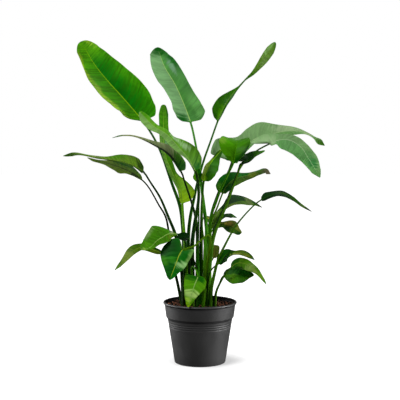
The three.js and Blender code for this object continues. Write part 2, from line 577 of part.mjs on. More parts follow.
// One ring of the blade. A point's place across is v, from -1 at the left margin to 1 at the
// right one. Each half leaves the midrib at its fold angle and curls by its cup angle, so it is
// an arc. The lower row lies one thickness below, and the midrib stands out of it.
function bladeRing(leaf, frame) {
  const { t } = frame;
  const [baseEnd, tipEnd] = leaf.ends;
  const full = Math.min(1, t / 0.1) ** baseEnd * Math.min(1, (1 - t) / 0.1) ** tipEnd;
  const least = leaf.neck * (1 - t) + blade.tip * t;
  const back = Math.max(0, 1 - t / 0.35) ** 2;
  const fade = Math.min(1, 6 * t) * (1 - t ** 3);
  const rib = blade.rib * leaf.neck * (1 - t) + 0.4;
  const [middle, reach, height] = leaf.swell ?? [1, 1, 0];
  const extra = height * Math.exp(-(((t - middle) / reach) ** 2));
  const row = leaf.small ? [-1, -0.5, 0, 0.5, 1] : [-1, -0.58, -0.12, 0, 0.12, 0.58, 1];
  const place = (v, lower) => {
    const side = v < 0 ? 0 : 1;
    const sign = v < 0 ? -1 : 1;
    const u = Math.abs(v);
    const stations = side === 0 ? leaf.left : leaf.right;
    const half = Math.hypot(full * (halfWidth(stations, t) + extra), least);
    const cup = leaf.cup[side] * fade;
    const bend = (cup * u) / 2;
    const angle = leaf.fold[side] * fade + bend;
    const chord = half * u * (bend === 0 ? 1 : Math.sin(bend) / bend);
    const spread = u === 0 ? 0 : chord * Math.cos(angle);
    const phase = leaf.wave[1] * t + 0.3 * side;
    const ripple = leaf.wave[0] * u * u * fade * Math.sin(2 * Math.PI * phase);
    const lift = (u === 0 ? -blade.groove * (1 - t) : chord * Math.sin(angle)) + ripple;
    const point = frame.centre
      .clone()
      .addScaledVector(frame.across, sign * spread)
      .addScaledVector(frame.up, lift)
      .addScaledVector(frame.along, -leaf.lobe[side] * back * full * u * u);
    if (!lower) return point;
    const slope = leaf.fold[side] * fade + cup * u;
    const depth = u === 1 ? blade.edge : blade.thickness + (u < 0.2 ? rib * (u === 0 ? 1 : 0.7) : 0);
    return point
      .addScaledVector(frame.up, -depth * Math.cos(slope))
      .addScaledVector(frame.across, u === 0 ? 0 : sign * depth * Math.sin(slope));
  };
  const upper = row.map((v) => place(v, false));
  const lower = row.map((v) => place(v, true)).reverse();
  return [...upper, ...lower];
}

function leafGeometry(leaf) {
  const { stalkFrames, bladeFrames } = framesOf(leaf);
  const rowPoints = leaf.small ? 5 : 7;
  const rings = [footRing(leaf, stalkFrames[0], soil.top - root.depth, 0)];
  [...stalkFrames, { ...bladeFrames[0], s: 1 }].forEach((frame) => {
    const radius = leaf.neck + (leaf.root[2] - leaf.neck) * (1 - frame.s) ** 1.6;
    rings.push(roundRing(frame.centre, frame.across, frame.up, radius, rowPoints));
  });
  bladeFrames.slice(1).forEach((frame) => rings.push(bladeRing(leaf, frame)));
  return skin(rings);
}

// The plain hole that a leaf's foot stands in, a little wider and deeper than the foot.
function socketSolid(leaf) {
  const frame = framesOf(leaf).stalkFrames[0];
  const bottom = footRing(leaf, frame, soil.top - root.depth - gap, gap);
  const top = footRing(leaf, frame, soil.top + 30, gap);
  return solidOf(skin([bottom, top]));
}

// The soil fills the pot. Its top is crowned in the middle and lumpy.
function soilGeometry() {
  const wall = innerWall(gap);
  const rise = (soil.top - wall[2][1]) / (wall[3][1] - wall[2][1]);
  const brim = wall[2][0] + (wall[3][0] - wall[2][0]) * rise;
  const topRings = [1, 0.86, 0.7, 0.52, 0.34, 0.17].map((share) => [brim * share, soil.top - 2]);
  const profile = [[0, wall[0][1]], ...wall.slice(0, 3), ...topRings, [0, soil.top - 2]];
  const geometry = turned(profile);
  const place = geometry.attributes.position;
  for (let i = 0; i < place.count; i++) {
    const [x, y, z] = [place.getX(i), place.getY(i), place.getZ(i)];
    const share = Math.hypot(x, y) / brim;
    if (Math.abs(z - soil.top + 2) > 0.01 || share > 0.95) continue;
    const lump = Math.sin(0.11 * x + 1.3) * Math.cos(0.13 * y - 0.4) + 0.6 * Math.sin(0.23 * (x - y));
    place.setZ(i, z + soil.bump * lump + soil.crown * (1 - share) ** 2);
  }
  const body = solidOf(geometry);
  return geometryOf(leaves.reduce((rest, leaf) => rest.subtract(socketSolid(leaf)), body));
}

function named(name, geometry, material) {
  const mesh = new THREE.Mesh(geometry, material);
  mesh.name = name;
  return mesh;
}

const plant = new THREE.Group();
plant.add(named("pot", potGeometry(), mattMaterial("#232323", 0.55)));
plant.add(named("soil", soilGeometry(), mattMaterial("#2e1c14", 0.95)));
leaves.forEach((leaf) => {
  plant.add(named(leaf.name, leafGeometry(leaf), mattMaterial(leaf.colour, 0.35)));
});

export default plant;
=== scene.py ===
import math
from functools import partial
from itertools import combinations

import bpy
import numpy as np
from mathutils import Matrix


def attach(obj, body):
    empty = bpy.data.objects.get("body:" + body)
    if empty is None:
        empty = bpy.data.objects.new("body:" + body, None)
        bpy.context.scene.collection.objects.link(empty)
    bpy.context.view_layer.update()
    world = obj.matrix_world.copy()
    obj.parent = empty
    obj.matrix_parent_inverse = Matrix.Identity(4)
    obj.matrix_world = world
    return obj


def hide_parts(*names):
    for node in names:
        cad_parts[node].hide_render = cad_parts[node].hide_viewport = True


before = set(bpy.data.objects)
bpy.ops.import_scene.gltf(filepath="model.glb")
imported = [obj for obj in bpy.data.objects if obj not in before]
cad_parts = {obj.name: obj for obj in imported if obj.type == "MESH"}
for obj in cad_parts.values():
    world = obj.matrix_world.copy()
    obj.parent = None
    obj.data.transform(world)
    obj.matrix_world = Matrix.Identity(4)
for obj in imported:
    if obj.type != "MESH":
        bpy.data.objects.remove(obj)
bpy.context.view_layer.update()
print("frame:", len(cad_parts), "nodes")

mm = 0.001
scene = bpy.context.scene


# sRGB hex to linear RGBA: c / 12.92 where dark, else ((c + 0.055) / 1.055) to the power 2.4
def linear(hexColour):
    c = np.array([int(hexColour[i : i + 2], 16) for i in (1, 3, 5)]) / 255
    c = np.where(c <= 0.04045, c / 12.92, ((c + 0.055) / 1.055) ** 2.4)
    return (*c.tolist(), 1.0)


# Settings that many nodes share. A colour Mix takes its two colours at sockets 6 and 7.
smooth = {"interpolation_type": "SMOOTHSTEP"}
times = {"operation": "MULTIPLY"}
mixed = {"output": 2, "data_type": "RGBA"}
usual = [0.3, 0.7]  # a noise seldom leaves this range


# A shader node with its settings. inputs are links or values, as a list from the first socket or
# by socket; gives back one output.
def addNode(tree, kind, inputs, output=0, **settings):
    node = tree.nodes.new("ShaderNode" + kind)
    for key, value in settings.items():
        setattr(node, key, value)
    for socket, source in inputs.items() if isinstance(inputs, dict) else enumerate(inputs):
        if isinstance(source, bpy.types.NodeSocket):
            tree.links.new(source, node.inputs[socket])
        else:
            node.inputs[socket].default_value = source
    return node.outputs[output]


def newMaterial(name, **uniform):  # a Principled material, with the values that are the same all over
    material = bpy.data.materials.new(name)
    material.use_nodes = True
    tree = material.node_tree
    shader = tree.nodes["Principled BSDF"]
    for socket, value in uniform.items():
        shader.inputs[socket.replace("_", " ")].default_value = value
    return material, tree, shader


def smoothStep(x, low, high):  # 0 at low, 1 at high, and 3x^2 - 2x^3 between them
    x = np.clip((x - low) / (high - low), 0, 1)
    return x * x * (3 - 2 * x)


# A mesh object from arrays of points in millimetres and of faces, smooth but for its real edges
def addPiece(name, points, faces, material, sharp=40, attributes=None):
    mesh = bpy.data.meshes.new(name)
    mesh.from_pydata((np.asarray(points) * mm).tolist(), [], faces)
    mesh.update()
    for key, values in (attributes or {}).items():
        layer = mesh.attributes.new(key, "FLOAT_VECTOR", "POINT")
        layer.data.foreach_set("vector", np.asarray(values, np.float32).ravel())
    mesh.polygons.foreach_set("use_smooth", [True] * len(mesh.polygons))
    mesh.set_sharp_from_angle(angle=math.radians(sharp))
    mesh.materials.append(material)
    piece = bpy.data.objects.new(name, mesh)
    scene.collection.objects.link(piece)
    return piece


def finishPiece(piece, node):  # nothing moves, so every piece is on the one body
    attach(piece, "root")
    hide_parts(node)


# Faces of a grid of rows by columns, as quads, joined round in the columns
def gridFaces(rows, columns):
    i, k = np.meshgrid(np.arange(rows - 1), np.arange(columns), indexing="ij")
    near, far = i * columns + k, i * columns + (k + 1) % columns
    return np.stack([near, far, far + columns, near + columns], -1).reshape(-1, 4).tolist()


# Value noise in 3-D, from -1 to 1: random numbers on a lattice, blended by a cubic step
def valueNoise(points, cell, seed):
    side = 32
    lattice = np.random.default_rng(seed).uniform(-1, 1, (side, side, side))
    place = np.asarray(points) / cell
    low = np.floor(place).astype(int)
    f = place - low
    f = f * f * (3 - 2 * f)
    total = 0
    for corner in np.ndindex(2, 2, 2):
        index = (low + corner) % side
        weight = np.prod(np.where(corner, f, 1 - f), axis=-1)
        total = total + weight * lattice[index[..., 0], index[..., 1], index[..., 2]]
    return total


# root is the stalk's foot, [x, y, radius], and neck its radius under the blade. stalk and blade are
# points of the spine. face is where the upper side looks at the blade's base, middle and tip. left
# and right are half widths at even steps from 10 to 90% of the blade, and ends how round its two
# ends are. fold, cup and lobe are for the left and the right half, wave is height and number, and
# swell widens both halves: its place, reach and height. A small leaf has fewer rings.
# In look, deep is the green beside the midrib, and depth how much of it the left and the right half
# have. streaks is how far the side veins lighten and darken. spots are soft patches, partly the
# leaf's own colour and partly painted highlights, reflections and shade: place across from -1 to 1,
# place along, reach across, reach along, and colour.
leaves = [
    {
        "name": "leaf_high_left", "root": [-42, -8, 7], "neck": 3.4,
        "stalk": [
            [-50, -6, 330], [-57, 2, 450], [-67, 16, 519], [-93, 34, 590], [-124, 60, 677],
            [-152, 84, 736],
        ],
        "blade": [
            [-192, 106, 796], [-259, 120, 874], [-311, 132, 931], [-359, 152, 990], [-407, 186, 1068],
        ],
        "face": [[0.35, -0.85, 0.4], [0.3, -0.9, 0.3], [0.2, -0.95, 0.1]],
        "left": [54, 68, 72, 77, 72, 63, 48, 38, 33], "right": [75, 90, 91, 87, 83, 77, 67, 57, 43],
        "ends": [0.34, 0.42], "fold": [0.3, 0.1], "cup": [0.35, -0.15], "lobe": [-34, 30],
        "wave": [2.5, 2.5],
        "look": {
            "left": "#3e8505", "right": "#2b8005", "deep": "#056705", "depth": [0.35, 0.95],
            "rib": "#84b308", "margin": "#95b82e", "stalk": "#0e4605", "foot": "#173d03",
            "streaks": 0.34,
            # the pale spots along the left margin are painted reflections
            "spotsAndPaintedLight": [
                [-0.95, 0.3, 0.35, 0.35, "#87b22c"], [-1, 0.75, 0.3, 0.22, "#7fa41f"],
                [0.3, 0.95, 1.8, 0.24, "#488e05"], [0.9, 1, 0.6, 0.12, "#79a524"],
                [0.95, 0.5, 0.35, 0.5, "#388605"],
            ],
        },
    },
    {
        "name": "leaf_high_middle", "root": [14, -32, 7], "neck": 3.4,
        "stalk": [
            [16, -22, 300], [18, -14, 380], [22, -7, 430], [20, -2, 460], [14, 8, 509], [5, 26, 579],
            [-6, 46, 669], [-18, 62, 736],
        ],
        "blade": [[-31, 70, 791], [-53, 70, 851], [-83, 72, 918], [-119, 86, 979], [-143, 124, 1044]],
        "face": [[0.1, -0.95, 0.3], [0.15, -0.97, 0.2], [0.1, -0.5, 0.85]],
        "left": [42, 49, 43, 45, 48, 54, 51, 43, 35], "right": [58, 55, 48, 44, 43, 44, 44, 39, 26],
        "ends": [0.4, 0.55], "fold": [0.25, 0.25], "cup": [0.35, 0.35], "lobe": [-8, 18],
        "wave": [2, 2],
        "look": {
            # the pale left half is partly a painted reflection
            "left": "#74a46a", "right": "#529446", "deep": "#488f32", "depth": [0, 0.35],
            "rib": "#a5cd71", "margin": "#80ad68", "stalk": "#3c8a1c", "foot": "#4f8604",
            "streaks": 0.18,
            "spotsAndPaintedLight": [
                [-0.9, 0.06, 0.9, 0.13, "#1e6a20"], [0.8, 0.17, 0.6, 0.2, "#6cb25a"],
                [1, 0.74, 0.8, 0.24, "#206820"], [0.5, 0.66, 0.25, 0.15, "#76a67c"],
                [0.1, 1, 1.9, 0.18, "#064f05"],
            ],
        },
    },
    {
        "name": "leaf_narrow_upright", "root": [-38, -38, 7], "neck": 3.8,
        "stalk": [[-46, -30, 300], [-49, -26, 385], [-53, -14, 450], [-56, -4, 495]],
        "blade": [
            [-58, 2, 524], [-65, 8, 572], [-92, 16, 630], [-115, 24, 690], [-120, 38, 765],
            [-121, 58, 851],
        ],
        "face": [[0.15, -0.98, 0.05], [0.6, -0.75, 0.2], [0, -1, 0.1]],
        "left": [10, 13, 17, 18, 19, 19, 18, 16, 16], "right": [46, 28, 13, 15, 18, 18, 18, 16, 16],
        "ends": [0.5, 0.35], "fold": [0.3, 0.3], "cup": [0.3, 0.2], "lobe": [4, 4],
        "look": {
            "left": "#6a9d38", "right": "#4d9112", "deep": "#3f8d10", "depth": [0.2, 0.3],
            "rib": "#84b42f", "margin": "#7da95d", "stalk": "#5a9b03", "foot": "#315a03",
            "spotsAndPaintedLight": [
                [0.1, 0.07, 2, 0.14, "#95c518"], [0.5, 0.2, 0.6, 0.12, "#92cd35"],
                [-0.4, 0.85, 0.9, 0.25, "#41880f"], [0.4, 0.62, 0.5, 0.12, "#7ba972"],
                [0.9, 0.95, 0.4, 0.15, "#2c6d0d"],
            ],
        },
    },
    {
        "name": "leaf_middle_left", "root": [-22, -28, 7], "neck": 4.6,
        "stalk": [
            [-25, -26, 330], [-25, -30, 400], [-18, -38, 460], [-8, -46, 516], [-4, -52, 561],
            [-7, -58, 601],
        ],
        "blade": [
            [-13, -62, 633], [-36, -76, 675], [-67, -92, 713], [-106, -112, 756], [-147, -126, 782],
            [-189, -134, 827],
        ],
        "face": [[0.3, -0.8, 0.5], [0.25, -0.75, 0.6], [0.2, -0.8, 0.5]],
        "left": [6, 8, 16, 23, 29, 26, 18, 23, 23], "right": [44, 48, 41, 28, 12, 14, 13, 13, 13],
        "ends": [0.5, 0.5], "fold": [0.1, 0.1], "cup": [0.2, 0.1], "lobe": [6, 6], "wave": [1, 2],
        "look": {
            "left": "#72a04e", "right": "#61a325", "deep": "#64a12b", "depth": [0.1, 0.25],
            "rib": "#82b34a", "margin": "#96b67c", "stalk": "#032703", "foot": "#0b4003",
            # the two pale spots at 0.32 and 0.47 along are painted highlights
            "spotsAndPaintedLight": [
                [-0.6, 0.05, 0.8, 0.08, "#06240a"], [0.3, 0.03, 0.9, 0.09, "#187906"],
                [0.45, 0.32, 0.4, 0.1, "#acda93"], [0.65, 0.47, 0.45, 0.09, "#a4ce8b"],
                [0.5, 0.95, 0.8, 0.1, "#4e9511"],
            ],
        },
    },
    {
        "name": "leaf_dark_tail", "root": [-4, -30, 7], "neck": 3,
        "stalk": [[-8, -28, 330], [-9, -26, 430], [-15, -26, 486], [-31, -32, 544], [-50, -42, 602]],
        "blade": [
            [-61, -46, 633], [-96, -58, 689], [-149, -74, 723], [-203, -84, 747], [-245, -88, 751],
            [-279, -90, 744],
        ],
        "face": [[0.45, -0.6, 0.65], [0.3, -0.35, 0.9], [-0.1, -0.2, 1]],
        "left": [9, 14, 16, 14, 12, 10, 8, 7, 6], "right": [43, 42, 40, 32, 22, 14, 8, 7, 7],
        "ends": [0.5, 0.7], "fold": [0.1, 0.1], "lobe": [10, 26], "swell": [0.94, 0.04, 3],
        "look": {
            "left": "#132d0f", "right": "#7c895a", "deep": "#1e2d11", "depth": [0.3, 0.1],
            "rib": "#161e0f", "margin": "#717e4e", "stalk": "#031c03", "foot": "#37aa03",
            "spotsAndPaintedLight": [
                [0, 0.06, 2, 0.16, "#1a5e11"], [0.5, 0.17, 0.6, 0.1, "#3a7214"],
                [0, 0.75, 2, 0.22, "#89935c"], [0, 0.98, 2, 0.14, "#2f6616"],
            ],
        },
    },
    {
        "name": "leaf_far_left_upper", "root": [-54, -24, 6.5], "neck": 3.2,
        "stalk": [
            [-57, -24, 270], [-63, -26, 351], [-80, -34, 427], [-102, -46, 485], [-128, -58, 549],
            [-159, -70, 600],
        ],
        "blade": [
            [-181, -76, 634], [-210, -86, 654], [-247, -98, 668], [-294, -112, 676], [-342, -126, 685],
            [-390, -138, 695], [-429, -146, 688],
        ],
        "face": [[0.4, -0.4, 0.8], [0.1, -0.3, 0.95], [0, -0.5, 0.85]],
        "left": [31, 32, 32, 27, 20, 15, 12, 12, 16], "right": [49, 42, 32, 23, 15, 8, 5, 6, 7],
        "ends": [0.5, 0.7], "fold": [0.3, 0.3], "lobe": [8, 8], "wave": [1.5, 3],
        "look": {
            "left": "#325207", "right": "#537a16", "deep": "#5c7a1e", "depth": [0.2, 0.3],
            "rib": "#648026", "margin": "#628930", "stalk": "#032a06", "foot": "#031f03",
            "spotsAndPaintedLight": [
                [0, 0.04, 2, 0.1, "#274605"], [-0.8, 0.25, 0.5, 0.3, "#183d05"],
                [0.6, 0.36, 0.5, 0.14, "#447c07"], [0.7, 0.62, 0.6, 0.1, "#788752"],
                [0, 0.95, 2, 0.14, "#274a08"],
            ],
        },
    },
    {
        "name": "leaf_far_left_lower", "root": [-60, -4, 5], "neck": 2.6, "small": True,
        "stalk": [
            [-74, 4, 261], [-90, 16, 329], [-101, 28, 408], [-113, 40, 475], [-138, 50, 519],
            [-168, 60, 571],
        ],
        "blade": [
            [-193, 64, 600], [-228, 68, 624], [-262, 70, 640], [-307, 70, 655], [-349, 70, 665],
            [-376, 70, 675],
        ],
        "face": [[0.3, -0.5, 0.8], [0.1, -0.5, 0.85], [0, -0.5, 0.85]],
        "left": [9, 14, 19, 32, 27, 21, 12, 8, 8], "right": [20, 30, 36, 35, 30, 23, 16, 10, 6],
        "ends": [0.7, 0.8], "lobe": [3, 3], "wave": [1, 2],
        "look": {
            "left": "#486105", "right": "#3c5908", "deep": "#304905", "depth": [0.3, 0.2],
            "rib": "#120c05", "margin": "#506511", "stalk": "#060805", "foot": "#031103",
            "spotsAndPaintedLight": [
                [-0.3, 0.15, 0.7, 0.1, "#182c05"], [0.85, 0.35, 0.5, 0.25, "#104205"],
                [0.5, 0.65, 0.5, 0.14, "#516714"],
            ],
        },
    },
    {
        "name": "leaf_high_right", "root": [-28, 14, 7], "neck": 3,
        "stalk": [
            [-36, 18, 300], [-39, 26, 399], [-33, 38, 474], [-19, 50, 543], [-8, 62, 594],
            [12, 78, 663], [35, 94, 727],
        ],
        "blade": [
            [59, 110, 794], [78, 120, 839], [109, 132, 886], [155, 150, 937], [207, 172, 995],
            [259, 200, 1066],
        ],
        "face": [[-0.2, -0.95, 0.2], [0.72, -0.1, -0.68], [0.2, -0.95, 0.1]],
        "left": [34, 35, 25, 13, 8, 12, 17, 17, 15], "right": [7, 7, 10, 8, 9, 21, 20, 20, 18],
        "ends": [0.6, 0.5], "fold": [0.1, 0.1], "cup": [0.1, 0.1],
        "look": {
            "left": "#2c6708", "right": "#2a6508", "deep": "#1b5705", "depth": [0.2, 0.2],
            "rib": "#5a8624", "margin": "#5a7724", "stalk": "#074f05", "foot": "#083f03",
            "spotsAndPaintedLight": [
                [0, 0.06, 0.5, 0.12, "#4d9206"], [0.95, 0.2, 0.5, 0.25, "#074f06"],
                [0, 0.5, 2, 0.12, "#2a5505"], [0, 0.8, 2, 0.26, "#547a22"],
                [-0.5, 0.92, 0.8, 0.12, "#6c964a"],
            ],
        },
    },
    {
        "name": "leaf_right_long", "root": [20, 20, 7], "neck": 4,
        "stalk": [
            [18, 22, 300], [25, 32, 400], [34, 42, 459], [40, 48, 493], [50, 58, 525], [68, 70, 571],
            [98, 84, 631],
        ],
        "blade": [
            [108, 92, 659], [127, 100, 690], [162, 108, 722], [207, 116, 746], [257, 122, 757],
            [312, 128, 764], [366, 128, 753], [422, 121, 714],
        ],
        "face": [[-0.2, -0.95, 0.2], [-0.05, -0.75, 0.65], [0.4, -0.5, 0.75]],
        "left": [90, 44, 50, 56, 41, 27, 19, 7, 4], "right": [20, 18, 14, 16, 20, 21, 18, 8, 4],
        "ends": [0.1, 0.4], "lobe": [20, 10], "wave": [2.5, 2.5], "swell": [0.95, 0.045, 19],
        "look": {
            # the pale grey-green halves are partly a painted reflection
            "left": "#759d63", "right": "#62924f", "deep": "#6c9c54", "depth": [0.1, 0.15],
            "rib": "#97b77c", "margin": "#85a672", "stalk": "#040c04", "foot": "#0a2004",
            "streaks": 0.14,
            "spotsAndPaintedLight": [
                [-0.5, 0.62, 0.8, 0.16, "#92ad7e"], [0, 0.82, 1.6, 0.06, "#80946b"],
                [0, 1, 2, 0.16, "#295405"],
            ],
        },
    },
    {
        "name": "leaf_right_drooping", "root": [34, 8, 6], "neck": 2.6,
        "stalk": [
            [31, 5, 300], [34, 2, 360], [39, 0, 400], [48, -2, 440], [61, -8, 474], [82, -14, 520],
            [107, -20, 589], [126, -24, 636], [155, -26, 677], [190, -26, 704],
        ],
        "blade": [
            [224, -30, 722], [256, -44, 736], [290, -64, 735], [322, -84, 714], [344, -98, 681],
            [381, -116, 618],
        ],
        "face": [[-0.1, -0.7, 0.7], [0.2, -0.65, 0.7], [0.6, -0.7, 0.35]],
        "left": [54, 30, 28, 29, 28, 31, 36, 32, 22], "right": [14, 36, 50, 53, 51, 44, 34, 27, 22],
        "ends": [0.2, 0.8], "lobe": [108, 0],
        "look": {
            # the pale grey-green halves are partly a painted reflection
            "left": "#6b935a", "right": "#568e4a", "deep": "#609256", "depth": [0.2, 0.2],
            "rib": "#92b080", "margin": "#7b9869", "stalk": "#031e03", "foot": "#0f4404",
            "streaks": 0.14,
            "spotsAndPaintedLight": [
                [0, 0.04, 2, 0.13, "#87a974"], [0.2, 0.64, 1.6, 0.12, "#48793f"],
                [-0.2, 0.78, 1, 0.11, "#2a6a30"], [0, 0.97, 2, 0.12, "#4c793d"],
            ],
        },
    },
    {
        "name": "leaf_heart_bright", "root": [33, -8, 6.5], "neck": 3.2,
        "stalk": [
            [29, -8, 300], [31, -12, 390], [32, -20, 430], [37, -30, 490], [49, -40, 526],
            [66, -52, 573], [94, -76, 635],
        ],
        "blade": [
            [106, -84, 661], [111, -88, 690], [116, -84, 714], [119, -66, 732], [120, -36, 734],
            [121, -8, 722],
        ],
        "face": [[-0.05, -0.95, 0.3], [0, -0.75, 0.65], [0, -0.1, 1]],
        "left": [22, 40, 54, 60, 56, 46, 35, 24, 15], "right": [16, 28, 38, 45, 45, 39, 29, 19, 11],
        "ends": [0.7, 0.5], "fold": [0.4, 0.4],
        "look": {
            "left": "#499105", "right": "#377205", "deep": "#459905", "depth": [0.2, 0.2],
            "rib": "#4f9505", "margin": "#569311", "stalk": "#2b6c08", "foot": "#3a5c08",
            "streaks": 0.12,
            "spotsAndPaintedLight": [
                [0.6, 0.1, 0.7, 0.16, "#135205"], [0.95, 0.3, 0.4, 0.2, "#0f4105"],
                [0, 0, 0.6, 0.08, "#3f8905"], [-0.9, 0.45, 0.3, 0.12, "#6a9d27"],
            ],
        },
    },
    {
        "name": "leaf_heart_dark", "root": [32, -27, 7], "neck": 3.8,
        "stalk": [
            [29, -26, 280], [34, -27, 350], [40, -30, 400], [50, -34, 440], [64, -38, 474],
            [83, -46, 521], [108, -52, 588], [121, -54, 626], [131, -56, 658],
        ],
        "blade": [[141, -58, 666], [160, -62, 672], [181, -71, 690], [207, -84, 702]],
        "face": [[-0.5, -0.5, 0.7], [-0.35, -0.5, 0.75], [0, -0.5, 0.85]],
        "left": [48, 44, 41, 36, 29, 21, 14, 10, 8], "right": [12, 10, 8, 7, 7, 8, 9, 8, 7],
        "ends": [0.15, 0.5], "lobe": [90, 30],
        "look": {
            "left": "#1c5010", "right": "#16480c", "deep": "#0f380a", "depth": [0.4, 0.4],
            "rib": "#4c8c1c", "margin": "#2c7014", "stalk": "#032b03", "foot": "#095e03",
            "spotsAndPaintedLight": [[0, 0.6, 2, 0.14, "#3c7c10"], [0, 0.95, 2, 0.2, "#37740f"]],
        },
    },
    {
        "name": "leaf_centre_olive", "root": [2, -10, 7], "neck": 3.8,
        "stalk": [[3, -12, 330], [4, -12, 430], [6, -12, 520], [9, -12, 570]],
        "blade": [[12, -12, 600], [21, -10, 635], [37, -2, 662], [55, 8, 684], [76, 20, 706]],
        "face": [[-0.3, -0.9, 0.25], [-0.3, -0.9, 0.3], [-0.3, -0.8, 0.5]],
        "left": [10, 10, 11, 11, 8, 7, 6, 8, 7], "right": [27, 35, 37, 38, 32, 27, 19, 13, 9],
        "ends": [0.4, 0.6], "fold": [0.2, 0.1], "lobe": [2, 2], "wave": [1, 3],
        "look": {
            "left": "#7ea826", "right": "#327808", "deep": "#398009", "depth": [0.1, 0.3],
            "rib": "#91d11a", "margin": "#487812", "stalk": "#064203", "foot": "#037003",
            "streaks": 0.16,
            "spotsAndPaintedLight": [
                [0, 0.05, 0.5, 0.12, "#7abb0c"], [-0.4, 0.3, 0.6, 0.18, "#b7dc5c"],
                [0, 0.78, 2, 0.24, "#245205"],
            ],
        },
    },
    {
        "name": "leaf_centre_small", "root": [-16, -4, 4.5], "neck": 2.4, "small": True,
        "stalk": [[-10, 2, 330], [-5, 4, 430], [-4, 6, 520], [-3, 4, 570]],
        "blade": [[-3, 2, 596], [-7, 0, 620], [-12, 2, 652]],
        "face": [[-0.1, -1, 0.1], [-0.1, -1, 0.1], [-0.1, -1, 0.2]],
        "left": [11, 15, 17, 17, 13, 11, 11, 11, 12], "right": [14, 15, 16, 15, 14, 12, 10, 7, 5],
        "ends": [0.5, 0.6], "fold": [0.1, 0.1], "lobe": [2, 2],
        "look": {
            "left": "#69c30a", "right": "#16520a", "deep": "#2e7908", "depth": [0.2, 0.2],
            "rib": "#4e9e10", "margin": "#4e9e14", "stalk": "#034903", "foot": "#044204",
            "spotsAndPaintedLight": [[0.5, 0.62, 0.8, 0.16, "#1d880a"], [0.4, 0.12, 0.7, 0.16, "#2e790a"]],
        },
    },
    {
        "name": "leaf_right_dark", "root": [18, -8, 6.5], "neck": 2.8,
        "stalk": [[18, -4, 300], [24, 2, 400], [38, 10, 465], [57, 18, 512]],
        "blade": [
            [74, 24, 557], [89, 30, 584], [115, 40, 606], [151, 54, 615], [189, 68, 627],
            [217, 80, 634], [237, 86, 620],
        ],
        "face": [[-0.5, -0.75, 0.4], [-0.2, -0.6, 0.75], [0.2, -0.6, 0.75]],
        "left": [40, 45, 41, 31, 20, 10, 6, 5, 7], "right": [20, 26, 32, 29, 24, 22, 18, 17, 17],
        "ends": [0.5, 0.7], "lobe": [6, 6], "swell": [0.94, 0.04, 4],
        "look": {
            "left": "#0e640b", "right": "#37580b", "deep": "#116e0d", "depth": [0.3, 0.2],
            "rib": "#5c822b", "margin": "#5c7a39", "stalk": "#2f4a07", "foot": "#123c06",
            "spotsAndPaintedLight": [
                [-0.6, 0.06, 0.5, 0.1, "#4e9a0d"], [0.6, 0.12, 0.7, 0.16, "#0b440d"],
                [0.4, 0.62, 0.7, 0.12, "#5f7010"], [-0.3, 0.66, 0.6, 0.1, "#727641"],
                [0, 0.95, 2, 0.17, "#4f4c37"],
            ],
        },
    },
    {
        "name": "leaf_right_arched", "root": [36, 23, 6.5], "neck": 2.8, "small": True,
        "stalk": [[33, 22, 300], [35, 25, 400]],
        "blade": [
            [38, 34, 438], [49, 41, 466], [62, 49, 492], [84, 58, 510], [113, 74, 523], [144, 92, 528],
            [175, 108, 521], [211, 124, 504],
        ],
        "face": [[-0.5, -0.5, 0.7], [-0.1, -0.5, 0.85], [0.3, -0.5, 0.8]],
        "left": [6, 9, 12, 18, 36, 47, 33, 22, 12], "right": [8, 10, 11, 11, 12, 19, 24, 17, 7],
        "ends": [0.7, 0.8],
        "look": {
            "left": "#11450f", "right": "#4d7819", "deep": "#306712", "depth": [0.1, 0.2],
            "rib": "#608e19", "margin": "#60782f", "stalk": "#24400a", "foot": "#1c3406",
            "spotsAndPaintedLight": [
                [-0.3, 0.2, 0.8, 0.16, "#8cad53"], [0.55, 0.47, 0.5, 0.1, "#788e24"],
                [0, 0.78, 1.6, 0.1, "#5c713b"], [0, 0.98, 2, 0.12, "#193612"],
            ],
        },
    },
    {
        "name": "leaf_thin_stalked", "root": [35, -50, 7], "neck": 2.3, "small": True,
        "stalk": [
            [36, -52, 245], [43, -58, 285], [59, -72, 351], [84, -88, 407], [110, -102, 456],
            [136, -114, 492], [169, -128, 529],
        ],
        "blade": [
            [192, -136, 548], [216, -142, 562], [249, -150, 571], [285, -158, 559], [315, -164, 536],
            [349, -170, 515],
        ],
        "face": [[-0.3, -0.45, 0.85], [0.1, -0.4, 0.9], [0.4, -0.35, 0.85]],
        "left": [29, 22, 17, 18, 14, 11, 10, 9, 7], "right": [18, 18, 19, 18, 15, 14, 9, 9, 7],
        "ends": [0.5, 0.8], "lobe": [4, 4],
        "look": {
            "left": "#082f05", "right": "#062605", "deep": "#082f05", "depth": [0.2, 0.2],
            "rib": "#1f4905", "margin": "#30500b", "stalk": "#0a3805", "foot": "#084c03",
            "spotsAndPaintedLight": [
                [-0.2, 0.42, 0.6, 0.14, "#264705"], [0, 0.66, 2, 0.16, "#214707"],
                [0, 0.82, 2, 0.1, "#395612"], [0, 1, 2, 0.1, "#081905"],
            ],
        },
    },
    {
        "name": "leaf_small_right", "root": [6, 12, 4.5], "neck": 2.2, "small": True,
        "stalk": [[11, 13, 300], [24, 14, 400], [44, 14, 440]],
        "blade": [[62, 14, 465], [78, 14, 483], [98, 16, 485], [122, 18, 479]],
        "face": [[-0.3, -0.45, 0.85], [0, -0.45, 0.85], [0.3, -0.45, 0.85]],
        "left": [10, 12, 13, 11, 12, 13, 15, 12, 6], "right": [5, 7, 9, 9, 10, 11, 12, 7, 5],
        "ends": [0.6, 0.7],
        "look": {
            "left": "#0c3a06", "right": "#0a3004", "deep": "#042404", "depth": [0.3, 0.3],
            "rib": "#1c4a08", "margin": "#1c4c0c", "stalk": "#042c04", "foot": "#062c04",
            "spotsAndPaintedLight": [[0, 0.9, 2, 0.2, "#2c5a10"]],
        },
    },
    {
        "name": "leaf_brown_right", "root": [18, 42, 4.5], "neck": 2.2, "small": True,
